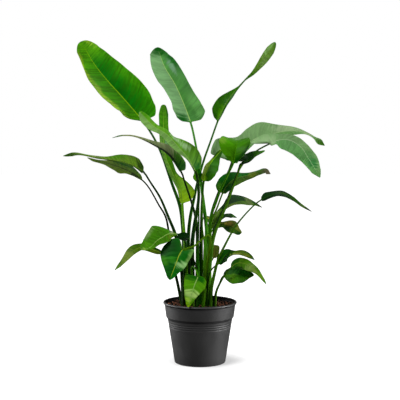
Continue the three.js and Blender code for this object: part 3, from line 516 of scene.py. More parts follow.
        "stalk": [[18, 48, 300], [14, 58, 390], [8, 66, 440]],
        "blade": [
            [12, 68, 474], [37, 68, 468], [62, 60, 459], [89, 50, 454], [112, 34, 445], [136, 22, 425],
        ],
        "face": [[0.1, -0.7, 0.7], [0.15, -0.8, 0.6], [0.2, -0.9, 0.4]],
        "left": [8, 10, 8, 5, 8, 18, 23, 17, 10], "right": [10, 22, 34, 26, 18, 22, 26, 25, 17],
        "ends": [0.5, 0.3], "wave": [2, 2],
        "look": {
            "left": "#748630", "right": "#40691e", "deep": "#6c8327", "depth": [0.2, 0.3],
            "rib": "#a3a02e", "margin": "#746d3f", "stalk": "#0c1404", "foot": "#3c4c04",
            "spotsAndPaintedLight": [
                [0.6, 0.65, 0.5, 0.12, "#264e27"], [0.5, 0.97, 1.2, 0.12, "#1c4b1a"],
                [-0.2, 0.6, 0.6, 0.1, "#b79948"],
            ],
        },
    },
    {
        "name": "leaf_brown_stub", "root": [34, 40, 4], "neck": 2.2, "small": True,
        "stalk": [[32, 43, 290], [33, 48, 320]], "blade": [[45, 50, 340], [49, 48, 360], [51, 46, 384]],
        "face": [[0, -1, 0.1], [0, -1, 0.1], [0, -1, 0.1]], "left": [7, 10, 12, 13, 14, 14, 14, 14, 13],
        "right": [9, 12, 14, 15, 15, 15, 15, 15, 14], "ends": [0.4, 0.2],
        "look": {
            "left": "#7f8d30", "right": "#798d30", "deep": "#646f27", "depth": [0.4, 0.4],
            "rib": "#93963f", "margin": "#93843f", "stalk": "#241c04", "foot": "#241c04", "spotsAndPaintedLight": [],
        },
    },
    {
        "name": "leaf_low_right_arched", "root": [22, -42, 4], "neck": 2.2, "small": True,
        "stalk": [[27, -40, 262], [34, -42, 306], [48, -46, 325]],
        "blade": [
            [60, -48, 333], [72, -54, 352], [89, -64, 369], [114, -78, 375], [138, -90, 377],
            [159, -100, 369], [174, -108, 355],
        ],
        "face": [[-0.5, -0.75, 0.4], [-0.1, -0.5, 0.85], [0.3, -0.5, 0.8]],
        "left": [22, 24, 22, 13, 9, 11, 10, 8, 5], "right": [15, 22, 28, 21, 14, 15, 18, 18, 15],
        "ends": [0.5, 0.8], "lobe": [4, 4],
        "look": {
            "left": "#0b4005", "right": "#0b4205", "deep": "#084e05", "depth": [0.2, 0.2],
            "rib": "#2e6905", "margin": "#3f690b", "stalk": "#081c04", "foot": "#0e6404",
            "spotsAndPaintedLight": [
                [0, 0.62, 2, 0.22, "#4f6706"], [0.5, 0.5, 0.5, 0.09, "#7d8c3b"],
                [0.6, 0.62, 0.5, 0.08, "#808836"], [-0.4, 0.82, 1, 0.14, "#304805"],
                [0.5, 0.82, 0.7, 0.14, "#536105"],
            ],
        },
    },
    {
        "name": "leaf_low_right_upper", "root": [49, -52, 4.5], "neck": 2.2, "small": True,
        "stalk": [[53, -59, 241], [67, -72, 277], [84, -86, 308]],
        "blade": [
            [99, -94, 327], [118, -104, 343], [146, -118, 343], [176, -130, 324], [210, -142, 282],
        ],
        "face": [[-0.3, -0.6, 0.75], [0.2, -0.7, 0.7], [0.6, -0.7, 0.4]],
        "left": [19, 23, 21, 19, 15, 14, 12, 9, 7], "right": [18, 21, 24, 25, 23, 17, 9, 6, 5],
        "ends": [0.5, 0.8], "lobe": [3, 3],
        "look": {
            "left": "#3d6a09", "right": "#376309", "deep": "#336406", "depth": [0.1, 0.1],
            "rib": "#5f7d1e", "margin": "#697d44", "stalk": "#0a3903", "foot": "#0d1c0a",
            "spotsAndPaintedLight": [
                [0, 0.12, 2, 0.16, "#1b5006"], [0.9, 0.25, 0.4, 0.2, "#0f3305"],
                [0.1, 0.52, 1.2, 0.1, "#657f39"], [0.4, 0.64, 0.8, 0.1, "#63782f"],
                [0.1, 0.8, 1.6, 0.14, "#4b7106"],
            ],
        },
    },
    {
        "name": "leaf_low_right_lower", "root": [46, -38, 5], "neck": 2.4, "small": True,
        "stalk": [[52, -42, 238], [64, -47, 270]],
        "blade": [[76, -53, 294], [104, -65, 300], [137, -80, 302], [173, -94, 303]],
        "face": [[-0.1, -0.85, 0.5], [0, -0.8, 0.6], [0.1, -0.8, 0.6]],
        "left": [20, 26, 29, 29, 28, 26, 22, 16, 11], "right": [17, 24, 31, 34, 33, 31, 29, 21, 10],
        "ends": [0.7, 0.6],
        "look": {
            "left": "#0e4b07", "right": "#387206", "deep": "#2d6a08", "depth": [0.2, 0.2],
            "rib": "#4b820c", "margin": "#4b722c", "stalk": "#0c2006", "foot": "#0a2c04",
            "spotsAndPaintedLight": [
                [0.3, 0.33, 0.6, 0.14, "#497c06"], [-0.3, 0.7, 0.8, 0.25, "#1e7e10"],
                [-0.5, 0.15, 0.5, 0.12, "#1c4d06"], [0.9, 0.7, 0.4, 0.2, "#255905"],
                [0.8, 0.15, 0.4, 0.1, "#4d763a"],
            ],
        },
    },
    {
        "name": "leaf_low_left_bright", "root": [-54, -42, 5], "neck": 2.6, "small": True,
        "stalk": [[-52, -46, 280], [-47, -48, 361], [-47, -48, 404], [-56, -48, 425]],
        "blade": [
            [-73, -52, 431], [-100, -68, 434], [-118, -84, 426], [-138, -102, 415], [-159, -120, 396],
            [-185, -140, 391],
        ],
        "face": [[0.1, -0.75, 0.65], [0.1, -0.8, 0.6], [0.1, -0.8, 0.6]],
        "left": [12, 18, 24, 24, 21, 16, 12, 8, 6], "right": [8, 20, 49, 53, 46, 40, 36, 34, 26],
        "ends": [0.7, 0.5],
        "look": {
            "left": "#3d7208", "right": "#3b740a", "deep": "#2f6e08", "depth": [0.4, 0.4],
            "rib": "#81a64d", "margin": "#60803f", "stalk": "#084703", "foot": "#070403",
            "spotsAndPaintedLight": [
                [-0.5, 0.2, 0.7, 0.14, "#537813"], [0.3, 0.14, 0.6, 0.08, "#9b9f85"],
                [1, 0.55, 0.35, 0.2, "#688c47"], [-0.3, 0.95, 0.8, 0.12, "#6e9336"],
                [0.2, 0.8, 0.8, 0.1, "#47820c"],
            ],
        },
    },
    {
        "name": "leaf_low_left_outer", "root": [-8, -46, 4.5], "neck": 2, "small": True,
        "stalk": [[-9, -48, 260], [-13, -52, 322], [-27, -56, 355], [-60, -57, 362], [-92, -55, 365]],
        "blade": [
            [-118, -51, 369], [-143, -46, 376], [-170, -44, 385], [-193, -50, 388], [-217, -58, 377],
            [-241, -66, 353], [-275, -76, 317],
        ],
        "face": [[-0.1, -0.8, 0.6], [-0.1, -0.75, 0.65], [-0.2, -0.8, 0.5]],
        "left": [11, 12, 12, 12, 14, 13, 11, 9, 7], "right": [9, 11, 12, 15, 20, 19, 14, 9, 6],
        "ends": [0.6, 0.9],
        "look": {
            "left": "#496e05", "right": "#3b6405", "deep": "#426c05", "depth": [0.2, 0.2],
            "rib": "#68861f", "margin": "#688525", "stalk": "#161a08", "foot": "#1c4b05",
            "spotsAndPaintedLight": [
                [0, 0.16, 2, 0.12, "#495d05"], [0, 0.7, 2, 0.18, "#728a2b"],
                [0.7, 0.15, 0.6, 0.14, "#153e05"], [0, 0.97, 2, 0.1, "#54830c"],
            ],
        },
    },
    {
        "name": "leaf_low_left_dark", "root": [-33, -53, 4], "neck": 2, "small": True,
        "stalk": [[-34, -50, 300], [-36, -46, 365], [-36, -54, 396]],
        "blade": [[-38, -64, 417], [-52, -70, 425], [-66, -74, 422], [-80, -76, 413]],
        "face": [[0.1, -0.9, 0.4], [0.1, -0.9, 0.4], [0, -0.9, 0.4]],
        "left": [12, 14, 15, 14, 13, 11, 7, 5, 4], "right": [13, 14, 15, 14, 14, 13, 10, 6, 4],
        "ends": [0.4, 0.7],
        "look": {
            "left": "#052205", "right": "#052c05", "deep": "#052205", "depth": [0.3, 0.3],
            "rib": "#0c3206", "margin": "#0c2e06", "stalk": "#032403", "foot": "#042c04", "spotsAndPaintedLight": [],
        },
    },
    {
        "name": "leaf_low_left_heart", "root": [10, -50, 5], "neck": 2.6,
        "stalk": [
            [16, -54, 280], [26, -60, 351], [34, -66, 407], [27, -72, 430], [4, -80, 415],
            [-18, -88, 397], [-40, -95, 390],
        ],
        "blade": [
            [-55, -99, 386], [-67, -104, 368], [-76, -110, 345], [-86, -116, 319], [-97, -122, 292],
        ],
        "face": [[-0.1, -0.9, 0.4], [-0.15, -0.95, 0.25], [-0.1, -0.98, 0.1]],
        "left": [36, 38, 36, 34, 32, 27, 20, 15, 10], "right": [50, 60, 61, 57, 51, 43, 34, 25, 16],
        "ends": [0.4, 0.6], "fold": [0.05, 0.05], "cup": [-0.2, -0.2], "lobe": [48, 44],
        "wave": [1.5, 2],
        "look": {
            "left": "#10710f", "right": "#0d5d0d", "deep": "#0d670d", "depth": [0.2, 0.2],
            "rib": "#a3c22b", "margin": "#45942b", "stalk": "#4c7307", "foot": "#448003",
            "streaks": 0.18,
            # the pale spot at -0.55 across, 0.46 along is a painted highlight band
            "spotsAndPaintedLight": [
                [0.2, 0.4, 0.5, 0.12, "#328b17"], [-1, 0.3, 0.35, 0.35, "#76aa51"],
                [-0.55, 0.46, 0.7, 0.13, "#9bd27f"], [0.7, 0.14, 0.6, 0.14, "#094f08"],
                [0.8, 0.5, 0.4, 0.2, "#3e9217"],
            ],
        },
    },
    {
        "name": "leaf_low_front", "root": [-20, -48, 4.5], "neck": 2.2,
        "stalk": [[-22, -52, 250], [-27, -62, 309], [-25, -74, 328], [-16, -90, 324]],
        "blade": [[-7, -100, 301], [-17, -112, 275], [-27, -122, 244], [-38, -124, 204]],
        "face": [[0.1, -0.95, 0.3], [0, -0.97, 0.2], [0, -1, 0.1]],
        "left": [31, 34, 34, 30, 25, 20, 15, 11, 7], "right": [43, 39, 35, 32, 28, 24, 20, 15, 10],
        "ends": [0.4, 0.7], "fold": [0.05, 0.05], "cup": [-0.1, -0.1], "lobe": [6, 6],
        "look": {
            "left": "#53950d", "right": "#579d0f", "deep": "#3f890f", "depth": [0.2, 0.2],
            "rib": "#8bb45a", "margin": "#7dac1f", "stalk": "#3f8f04", "foot": "#23300e",
            "streaks": 0.15,
            # the pale spots at 0.6 and 0.8 along are painted highlights
            "spotsAndPaintedLight": [
                [0, 0.06, 2, 0.12, "#136005"], [0.5, 0.17, 0.8, 0.08, "#31760a"],
                [0, 0.6, 1.5, 0.17, "#afd671"], [0.4, 0.8, 0.9, 0.1, "#a2d442"],
                [0, 0.98, 2, 0.12, "#91c00b"],
            ],
        },
    },
]

# What a leaf has unless its row says otherwise
plainLeaf = {
    "fold": [0, 0], "cup": [0, 0], "lobe": [0, 0], "wave": [0, 1], "swell": [1, 1, 0], "small": False,
}

blade = {
    "thickness": 0.9,
    "edge": 0.8,  # thickness at the margin
    "tip": 1.3,  # half width at the very tip
    "endShare": 0.1,  # share of the length that rounds each end
    "lobeShare": 0.35,  # share of the length that a back lobe draws on
    "edgeShare": 0.9,  # where each half starts to thin towards its margin
    "groove": 0.7,  # depth of the furrow over the midrib
    "grooveWidth": [0.6, 1.2],  # its half width: a share of the least half width, and mm more
    "rib": [0.9, 0.4],  # height of the midrib below: a share of the neck's radius, and mm more
    "ribSide": 0.8,  # how far it reaches past the least half width
    "waveShift": 0.3,  # how much later, in turns, the right margin waves
    "pleat": 0.35,  # height of the shallow pleats along the side veins
    "pleatLength": 17,
    "pleatDrift": [3, 31],  # how far they drift in and out of step, in radians, and over how many mm
    "pleatStart": [0.05, 0.4],  # across, where they begin and are full
    "pleatFade": 0.6,  # and what they lose by the margin
    "pleatWidth": 40,  # half width at which they reach their full height
    "veinLean": 0.42,  # how far a side vein runs forward for each mm across
    "veinCurve": 0.0016,
    "sheath": 1.3,  # how much the sheaths thicken a stout stalk
    "stout": [2.2, 3.2],  # neck radii between which a stalk becomes stout
    "sheathShares": [0.95, 0.4],  # shares of the stalk, from where they begin down to where they are full
    "taper": 1.6,  # power by which the stalk thins upwards
    "channel": [0.45, 0.4],  # depth and half width of the stalk's channel, as shares of its radius
    "channelShares": [0.25, 0.9],
    "sides": 0.985,  # keeps the upper and the lower side apart where they meet
    "blend": 0.03,  # share of the blade over which it grows out of the stalk
    "evenly": 0.3,  # share of the rings' spacing that is even; the rest bunches at both ends
    "rings": 84,
    "smallRings": 56,
    "stalkRings": 34,
    "endRings": [0.002, 0.005, 0.01, 0.985, 0.992, 0.997],  # extra rings close to both ends
    # places of the columns across each half, from midrib to margin
    "columns": [0, 0.02, 0.045, 0.08, 0.12, 0.18, 0.26, 0.35, 0.45, 0.55, 0.65, 0.75, 0.84, 0.92, 0.975, 1],
}
soilTop, rootDepth, rootClear = 188, 26, 5  # the soil, and the foot's reach below and above it
chordsPerSpan = 60


def unit(vectors):  # each vector over its length
    return vectors / np.linalg.norm(vectors, axis=-1, keepdims=True)


def squareTo(vectors, direction):  # the part of each vector that is square to its direction, at length 1
    return unit(vectors - np.sum(vectors * direction, -1, keepdims=True) * direction)


# The Catmull-Rom cubic from b to c at x from 0 to 1, whose slopes are (c - a) / 2 and (d - b) / 2,
# and its own slope there
def cubicThrough(a, b, c, d, x):
    slopeB, slopeC = (c - a) / 2, (d - b) / 2
    square = 3 * (c - b) - 2 * slopeB - slopeC
    cube = 2 * (b - c) + slopeB + slopeC
    return b + slopeB * x + square * x**2 + cube * x**3, slopeB + 2 * square * x + 3 * cube * x**2


# Points and directions at shares of a spine's length. The spine is a uniform cubic through its
# points, and its length is summed over short chords.
def spineAt(points, shares):
    padded = np.vstack([2 * points[0] - points[1], points, 2 * points[-1] - points[-2]])

    def cubic(place):
        span = np.clip(np.floor(place).astype(int), 0, len(points) - 2)
        return cubicThrough(*(padded[span + k] for k in range(4)), (place - span)[:, None])

    places = np.linspace(0, len(points) - 1, chordsPerSpan * (len(points) - 1) + 1)
    chords = np.linalg.norm(np.diff(cubic(places)[0], axis=0), axis=1)
    lengths = np.concatenate([[0], np.cumsum(chords)])
    centre, slope = cubic(np.interp(np.asarray(shares) * lengths[-1], lengths, places))
    return centre, unit(slope), lengths


# Half width at shares of the blade: a cubic through the stations, level past the outer two
def halfWidth(stations, t):
    last = len(stations) - 1
    place = np.clip((t - blade["endShare"]) / (1 - 2 * blade["endShare"]) * last, 0, last)
    first = np.minimum(last - 1, np.floor(place).astype(int))
    near = (np.asarray(stations, float)[np.clip(first + k, 0, last)] for k in (-1, 0, 1, 2))
    return cubicThrough(*near, place - first)[0]


# Upper and lower surface of the blade at t along and v across, as offsets (across, up, along).
# Each half is an arc: its chord leaves the midrib at the fold angle plus half the cup angle.
def bladeSection(leaf, t, v, length):
    u = np.abs(v)
    side = (v > 0).astype(int)
    sign = np.where(v < 0, -1.0, 1.0)
    fold, cup, lobe = (np.asarray(leaf[key], float)[side] for key in ("fold", "cup", "lobe"))
    roundBase, roundTip = leaf["ends"]
    full = np.minimum(1, t / blade["endShare"]) ** roundBase
    full = full * np.minimum(1, (1 - t) / blade["endShare"]) ** roundTip
    least = leaf["neck"] * (1 - t) + blade["tip"] * t
    fade = np.minimum(1, 6 * t) * (1 - t**3)  # no bend at either end

    # half width, and the arc of each half
    widths = np.where(v < 0, halfWidth(leaf["left"], t), halfWidth(leaf["right"], t))
    middle, reach, height = leaf["swell"]
    half = np.hypot(full * (widths + height * np.exp(-(((t - middle) / reach) ** 2))), least)
    distance = half * u
    bend = cup * fade * u / 2
    angle = fold * fade + bend
    chord = distance * np.sinc(bend / np.pi)

    # waves along the margin, pleats along the side veins and a furrow over the midrib
    vein = t * length - blade["veinLean"] * distance - blade["veinCurve"] * distance**2
    waveHeight, waveNumber = leaf["wave"]
    ripple = waveHeight * u**2 * fade * np.sin(2 * np.pi * (waveNumber * t + blade["waveShift"] * side))
    drift, driftLength = blade["pleatDrift"]
    pleats = np.sin(2 * np.pi * vein / blade["pleatLength"] + drift * np.sin(vein / driftLength))
    pleats = blade["pleat"] * pleats * fade * smoothStep(u, *blade["pleatStart"])
    pleats = pleats * (1 - blade["pleatFade"] * u) * np.minimum(1, half / blade["pleatWidth"])
    grooveShare, grooveMore = blade["grooveWidth"]
    furrow = np.clip(1 - distance / (grooveShare * least + grooveMore), 0, 1)
    furrow = -blade["groove"] * (1 - t) * furrow
    back = np.maximum(0, 1 - t / blade["lobeShare"]) ** 2
    across = sign * chord * np.cos(angle)
    up = chord * np.sin(angle) + furrow + ripple + pleats
    along = -lobe * back * full * u**2 * np.ones_like(up)

    # the lower side: a thickness square to the arc, and the round midrib
    slope = fold * fade + cup * fade * u
    ribShare, ribMore = blade["rib"]
    ribHeight = ribShare * leaf["neck"] * (1 - t) + ribMore
    ribShape = np.sqrt(np.clip(1 - (distance / (least + blade["ribSide"])) ** 2, 0, 1))
    thinning = (blade["edge"] - blade["thickness"]) * smoothStep(u, blade["edgeShare"], 1)
    depth = blade["thickness"] + thinning + ribHeight * ribShape
    upper = np.stack([across, up, along], -1)
    lower = upper + np.stack([sign * depth * np.sin(slope), -depth * np.cos(slope), 0 * depth], -1)
    return upper, lower, sign * distance, vein


# A leaf grown as one: a round stalk with a channel, which turns into the blade's section over the
# first few per cent of the blade. Rings run from the foot in the soil to the tip, and each ring
# goes over the upper side and back under the lower one.
def leafSurface(leaf):
    foot = [*leaf["root"][:2], soilTop + rootClear]
    points = np.array([foot, *leaf["stalk"], *leaf["blade"]], float)
    lengths = spineAt(points, [0])[2]
    neckShare = lengths[chordsPerSpan * (len(leaf["stalk"]) + 1)] / lengths[-1]
    stalkLength, bladeLength = neckShare * lengths[-1], (1 - neckShare) * lengths[-1]

    # places of the rings along the blade: closer at both ends
    even = np.linspace(0, 1, blade["smallRings" if leaf["small"] else "rings"])
    t = blade["evenly"] * even + (1 - blade["evenly"]) / 2 * (1 - np.cos(np.pi * even))
    t = np.sort(np.concatenate([t, blade["endRings"]]))
    centre, along, _ = spineAt(points, neckShare + (1 - neckShare) * t)
    faces = np.array(leaf["face"], float)
    later = (t >= 0.5).astype(int)
    face = faces[later] + (faces[later + 1] - faces[later]) * (2 * t - later)[:, None]
    up = squareTo(face, along)

    s = np.linspace(0, 1, blade["stalkRings"], endpoint=False)
    stalkCentre, stalkAlong, _ = spineAt(points, neckShare * s)
    stalkAlong[0] = [0, 0, 1]
    stalkUp = np.zeros_like(stalkCentre)
    carried = up[0]
    for i in range(len(s) - 1, -1, -1):  # carried down the stalk with no twist of its own
        carried = squareTo(carried, stalkAlong[i])
        stalkUp[i] = carried

    v = np.array([-c for c in blade["columns"][:0:-1]] + blade["columns"])
    turn = np.arccos(v * blade["sides"])
    hollow, hollowWidth = blade["channel"]
    channel = 1 - hollow * np.exp(-((v / hollowWidth) ** 2))

    def place(centre, up, along, offsets):  # offsets from the spine, turned to its own directions
        across = np.cross(along, up)
        return (
            centre[:, None]
            + across[:, None] * offsets[..., :1]
            + up[:, None] * offsets[..., 1:2]
            + along[:, None] * offsets[..., 2:]
        )

    def roundOffsets(radius, share):  # a circle, with a share of the channel in its upper side
        wide, high = radius[:, None] * np.cos(turn), radius[:, None] * np.sin(turn)
        top = high * (1 + (channel - 1) * share[:, None])
        return np.stack([wide, top, 0 * wide], -1), np.stack([wide, -high, 0 * wide], -1)

    def closed(upper, lower):  # over the upper side and back under the lower one
        return np.concatenate([upper, lower[:, ::-1]], 1)

    radius = leaf["neck"] + (leaf["root"][2] - leaf["neck"]) * (1 - s) ** blade["taper"]
    sheath = blade["sheath"] * smoothStep(leaf["neck"], *blade["stout"])
    radius = radius + sheath * smoothStep(s, *blade["sheathShares"])
    stalkSides = roundOffsets(radius, smoothStep(s, *blade["channelShares"]))
    neckUpper, neckLower = roundOffsets(np.full_like(t, leaf["neck"]), np.ones_like(t))
    bladeUpper, bladeLower, distance, vein = bladeSection(leaf, t[:, None], v[None], bladeLength)
    blend = smoothStep(t, 0, blade["blend"])[:, None, None]
    bladeUpper = neckUpper + (bladeUpper - neckUpper) * blend
    bladeLower = neckLower + (bladeLower - neckLower) * blend

    stalkPart = closed(*(place(stalkCentre, stalkUp, stalkAlong, side) for side in stalkSides))
    bladePart = closed(*(place(centre, up, along, side) for side in (bladeUpper, bladeLower)))
    footRing = stalkPart[:1].copy()
    footRing[..., 2] = soilTop - rootDepth
    surface = np.concatenate([footRing, stalkPart, bladePart])

    # leafMap holds metres across from the midrib, and along the blade to where the place's side vein
    # starts. leafShare holds the places across and along, and 1 on the lower side.
    down = np.concatenate([[-rootDepth / stalkLength - 1], s - 1])[:, None]
    rings, wide = surface.shape[:2]

    def spread(rows):  # one value all round each ring
        return np.broadcast_to(rows, (len(rows), wide))

    stalkAcross = np.broadcast_to(closed(v[None], v[None]) * leaf["neck"], (len(down), wide))
    leafMap = [
        np.concatenate([stalkAcross, closed(distance, distance)]),
        np.concatenate([spread(down * stalkLength), closed(vein, vein)]),
        np.zeros((rings, wide)),
    ]
    leafShare = [
        np.broadcast_to(closed(v[None], v[None]), (rings, wide)),
        spread(np.concatenate([down, t[:, None]])),
        np.broadcast_to(np.repeat([0.0, 1.0], len(v)), (rings, wide)),
    ]
    return surface, np.stack(leafMap, -1) * mm, np.stack(leafShare, -1)


# Closes the rings into one skin with a fan at the foot and at the tip, and gives each layer of
# values a mean for the two new points
def skin(rings, layers):
    count, wide = rings.shape[:2]
    faces = gridFaces(count, wide)
    hub = count * wide
    last = (count - 1) * wide
    faces += [[hub, (k + 1) % wide, k] for k in range(wide)]
    faces += [[hub + 1, last + k, last + (k + 1) % wide] for k in range(wide)]
    points, *filled = [np.vstack([a.reshape(-1, 3), a[0].mean(0), a[-1].mean(0)]) for a in [rings, *layers]]
    return points, faces, filled


# Living leaf: a waxed skin over soft tissue, with close side veins that run out from the midrib.
# The veins show as streaks of light and dark green, and the wax gives broad, soft highlights;
# more highlights, reflections and shade are painted into the colour as patches.
# Real side veins are about 1.2 mm apart, and stalk fibres less. The veins are drawn at 5 mm, their
# streaks at 8 mm and the fibres at 3.85 mm, the finest that shows.
leafFinish = {
    "roughness": 0.4,
    "roughnessDrift": 0.06,
    "roughnessNoise": [0.35, 0.65],  # clouds between which it drifts from least to most
    "underRoughness": 0.15,  # added on the lower side
    "ior": 1.42,
    "specular": 0.06,
    "veinSpacing": 5,
    "veinBump": 0.12,
    "veinStart": [0.0, 0.06],  # along the blade, where the veins rise to that
    "streakBump": 0.4,
    "bumpHeight": 0.6,
    "bumpStrength": 0.6,
    "streakWidth": 8,
    "streakStretch": 0.09,  # how fast a streak changes across, beside its change along the leaf
    "streaks": 0.22,  # how far they lighten and darken, unless a leaf's look says otherwise
    "shadeParts": [1.7, 0.5],  # of the streaks and of the clouds
    "shade": [0.85, 1.35],  # their sum where darkest and where lightest
    "cloudSize": 55,
    "seedStep": 0.37,  # sets each leaf's streaks apart
    "halves": [-0.03, 0.03],  # across the midrib, where one half's colour turns into the other's
    "patchEdge": [1.05, 0.35],  # where a patch begins and is full, as shares of its reach
    "patchShake": [0.12, 0.05],  # how far clouds move its border across, and streaks along
    "deepReach": [0.75, 0.1],  # across, where the deep green ends and where it is full
    "deepStreaks": 0.35,
    "deepBase": [0.02, 0.2],  # the same along the blade, at its base and towards its tip
    "deepTip": [0.95, 0.6],
    "ribWidth": 2.1,
    "ribTip": 0.35,  # share of that width left at the tip
    "ribEdge": [1.0, 0.45],
    "ribFade": [0.97, 0.8],
    "marginShare": 0.025,
    "margin": 0.7,  # how strongly the margin, and the lower side, take their colour; the lower side's deep green is painted shade
    "under": 0.55,
    "bladeStart": [0.0, 0.035],  # along the blade, where the stalk's colour gives way
    "footReach": [-1.0, -0.45],  # along the stalk, where the foot's colour does
    "fibreWidth": 3.85,
    "fibreStretch": 0.05,
    "fibreNoise": [0.35, 0.75],  # noise between which a fibre comes out
    "fibres": 0.15,
    "fibre": "#5c9a14",
    "paintedHighlight": 0.45,  # painted highlight: how bright one edge of the stalk's channel is painted
    "highlightReach": [0.1, 0.75],
    "highlightColour": "#5a9412",
}


def leafMaterial(leaf, seed):
    look = leaf["look"]
    material, tree, shader = newMaterial(
        "waxy " + leaf["name"], IOR=leafFinish["ior"], Specular_IOR_Level=leafFinish["specular"]
    )
    add = partial(addNode, tree)

    lengths = add("Attribute", [], "Vector", attribute_name="leafMap")
    across, vein, _ = add("SeparateXYZ", [lengths]).node.outputs
    places = add("Attribute", [], "Vector", attribute_name="leafShare")
    v, t, under = add("SeparateXYZ", [places]).node.outputs
    distance = add("Math", [across], operation="ABSOLUTE")
    u = add("Math", [v], operation="ABSOLUTE")
    position = add("TexCoord", [], "Object")

    # streaks that follow the side veins, and clouds of slow colour change
    stretched = add("Math", [across, leafFinish["streakStretch"]], **times)
    veinPlace = add("CombineXYZ", [vein, stretched, seed * leafFinish["seedStep"]])
    scale = 1 / (leafFinish["streakWidth"] * mm)
    streak = add("TexNoise", {"Vector": veinPlace, "Scale": scale, "Detail": 3.5, "Roughness": 0.7})
    scale = 1 / (leafFinish["cloudSize"] * mm)
    cloud = add("TexNoise", {"Vector": position, "Scale": scale, "Detail": 2.0})

    # the two halves, then soft patches, partly the leaf's own colour and partly painted highlights,
    # reflections and shade, whose borders the streaks and clouds break up
    halves = leafFinish["halves"]
    layers = [(add("MapRange", [v, *halves], **smooth), look["right"])]
    shakes = zip((cloud, streak), leafFinish["patchShake"])
    shakes = [add("MapRange", [noise, *usual, -far, far], **smooth) for noise, far in shakes]
    shaken = add("VectorMath", [places, add("CombineXYZ", shakes)])
    for x, y, reachX, reachY, tint in look["spotsAndPaintedLight"]:
        away = add("VectorMath", [shaken, (-x, -y, 0)])
        scaled = add("VectorMath", [away, (1 / reachX, 1 / reachY, 0)], **times)
        reach = add("VectorMath", [scaled], 1, operation="LENGTH")
        layers.append((add("MapRange", [reach, *leafFinish["patchEdge"]], **smooth), tint))

    # deeper green beside the midrib, in streaks that reach out to the margin
    side = add("MapRange", [v, *halves, *look["depth"]], **smooth)
    ragged = leafFinish["deepStreaks"]
    ragged = add("MapRange", [streak, *usual, ragged, -ragged], **smooth)
    ragged = add("Math", [u, ragged], operation="ADD")
    deepness = add("MapRange", [ragged, *leafFinish["deepReach"]], **smooth)
    fromBase = add("MapRange", [t, *leafFinish["deepBase"]], **smooth)
    fromTip = add("MapRange", [t, *leafFinish["deepTip"]], **smooth)
    for share in (fromBase, fromTip, side):
        deepness = add("Math", [deepness, share], **times)
    layers.append((deepness, look["deep"]))

    colour = linear(look["left"])
    for share, tint in layers:
        colour = add("Mix", {0: share, 6: colour, 7: linear(tint)}, **mixed)
    streakPart, cloudPart = leafFinish["shadeParts"]
    shade = add("Math", [cloud, cloudPart], **times)
    shade = add("Math", [streak, streakPart, shade], operation="MULTIPLY_ADD")
    contrast = look.get("streaks", leafFinish["streaks"])
    shade = add("MapRange", [shade, *leafFinish["shade"], 1 - contrast, 1 + contrast], **smooth)
    colour = add("Mix", {0: 1.0, 6: colour, 7: shade}, blend_type="MULTIPLY", **mixed)

    # midrib, margin, and painted shade on the lower side
    ribWidth = leafFinish["ribWidth"] * mm
    ribTip = leafFinish["ribTip"] * ribWidth
    ribReach = add("MapRange", [t, 1.0, 0.0, ribTip, ribWidth], **smooth)
    rib = add("Math", [distance, ribReach], operation="DIVIDE")
    rib = add("MapRange", [rib, *leafFinish["ribEdge"]], **smooth)
    ribEnd = add("MapRange", [t, *leafFinish["ribFade"]], **smooth)
    rib = add("Math", [rib, ribEnd], **times)
    inner = 1 - leafFinish["marginShare"]
    margin = add("MapRange", [u, inner, 1.0, 0.0, leafFinish["margin"]], **smooth)
    shadedLowerSide = add("Math", [under, leafFinish["under"]], **times)
    for share, tint in ((rib, look["rib"]), (margin, look["margin"]), (shadedLowerSide, look["deep"])):
        colour = add("Mix", {0: share, 6: colour, 7: linear(tint)}, **mixed)

    # the stalk: its foot, fibres along it, and a painted highlight along one edge of its channel
    foot = add("MapRange", [t, *leafFinish["footReach"], 1.0, 0.0], **smooth)
    fibrePlace = add("VectorMath", [position, (1, 1, leafFinish["fibreStretch"])], **times)
    scale = 1 / (leafFinish["fibreWidth"] * mm)
    fibre = add("TexNoise", {"Vector": fibrePlace, "Scale": scale, "Detail": 2.0})
    fibre = add("MapRange", [fibre, *leafFinish["fibreNoise"], 0.0, leafFinish["fibres"]], **smooth)
    paintedHighlight = add("MapRange", [v, *leafFinish["highlightReach"], 0.0, leafFinish["paintedHighlight"]], **smooth)
    stalk = linear(look["stalk"])
    over = ((foot, look["foot"]), (fibre, leafFinish["fibre"]), (paintedHighlight, leafFinish["highlightColour"]))
    for share, tint in over:
        stalk = add("Mix", {0: share, 6: stalk, 7: linear(tint)}, **mixed)
    onBlade = add("MapRange", [t, *leafFinish["bladeStart"]], **smooth)
    colour = add("Mix", {0: onBlade, 6: stalk, 7: colour}, **mixed)
    tree.links.new(colour, shader.inputs["Base Color"])

    least = leafFinish["roughness"] - leafFinish["roughnessDrift"]
    most = leafFinish["roughness"] + leafFinish["roughnessDrift"]
    rough = add("MapRange", [cloud, *leafFinish["roughnessNoise"], least, most], **smooth)
    rough = add("Math", [under, leafFinish["underRoughness"], rough], operation="MULTIPLY_ADD")
    tree.links.new(rough, shader.inputs["Roughness"])

    turns = 2 * math.pi / (leafFinish["veinSpacing"] * mm)
    ridges = add("Math", [add("Math", [vein, turns], **times)], operation="SINE")
    raised = add("MapRange", [t, *leafFinish["veinStart"], 0.0, leafFinish["veinBump"]], **smooth)
    ridges = add("Math", [ridges, raised], **times)
    height = add("Math", [streak, leafFinish["streakBump"], ridges], operation="MULTIPLY_ADD")
    far, strength = leafFinish["bumpHeight"] * mm, leafFinish["bumpStrength"]
    bump = add("Bump", {"Height": height, "Distance": far, "Strength": strength})
    tree.links.new(bump, shader.inputs["Normal"])
    return material


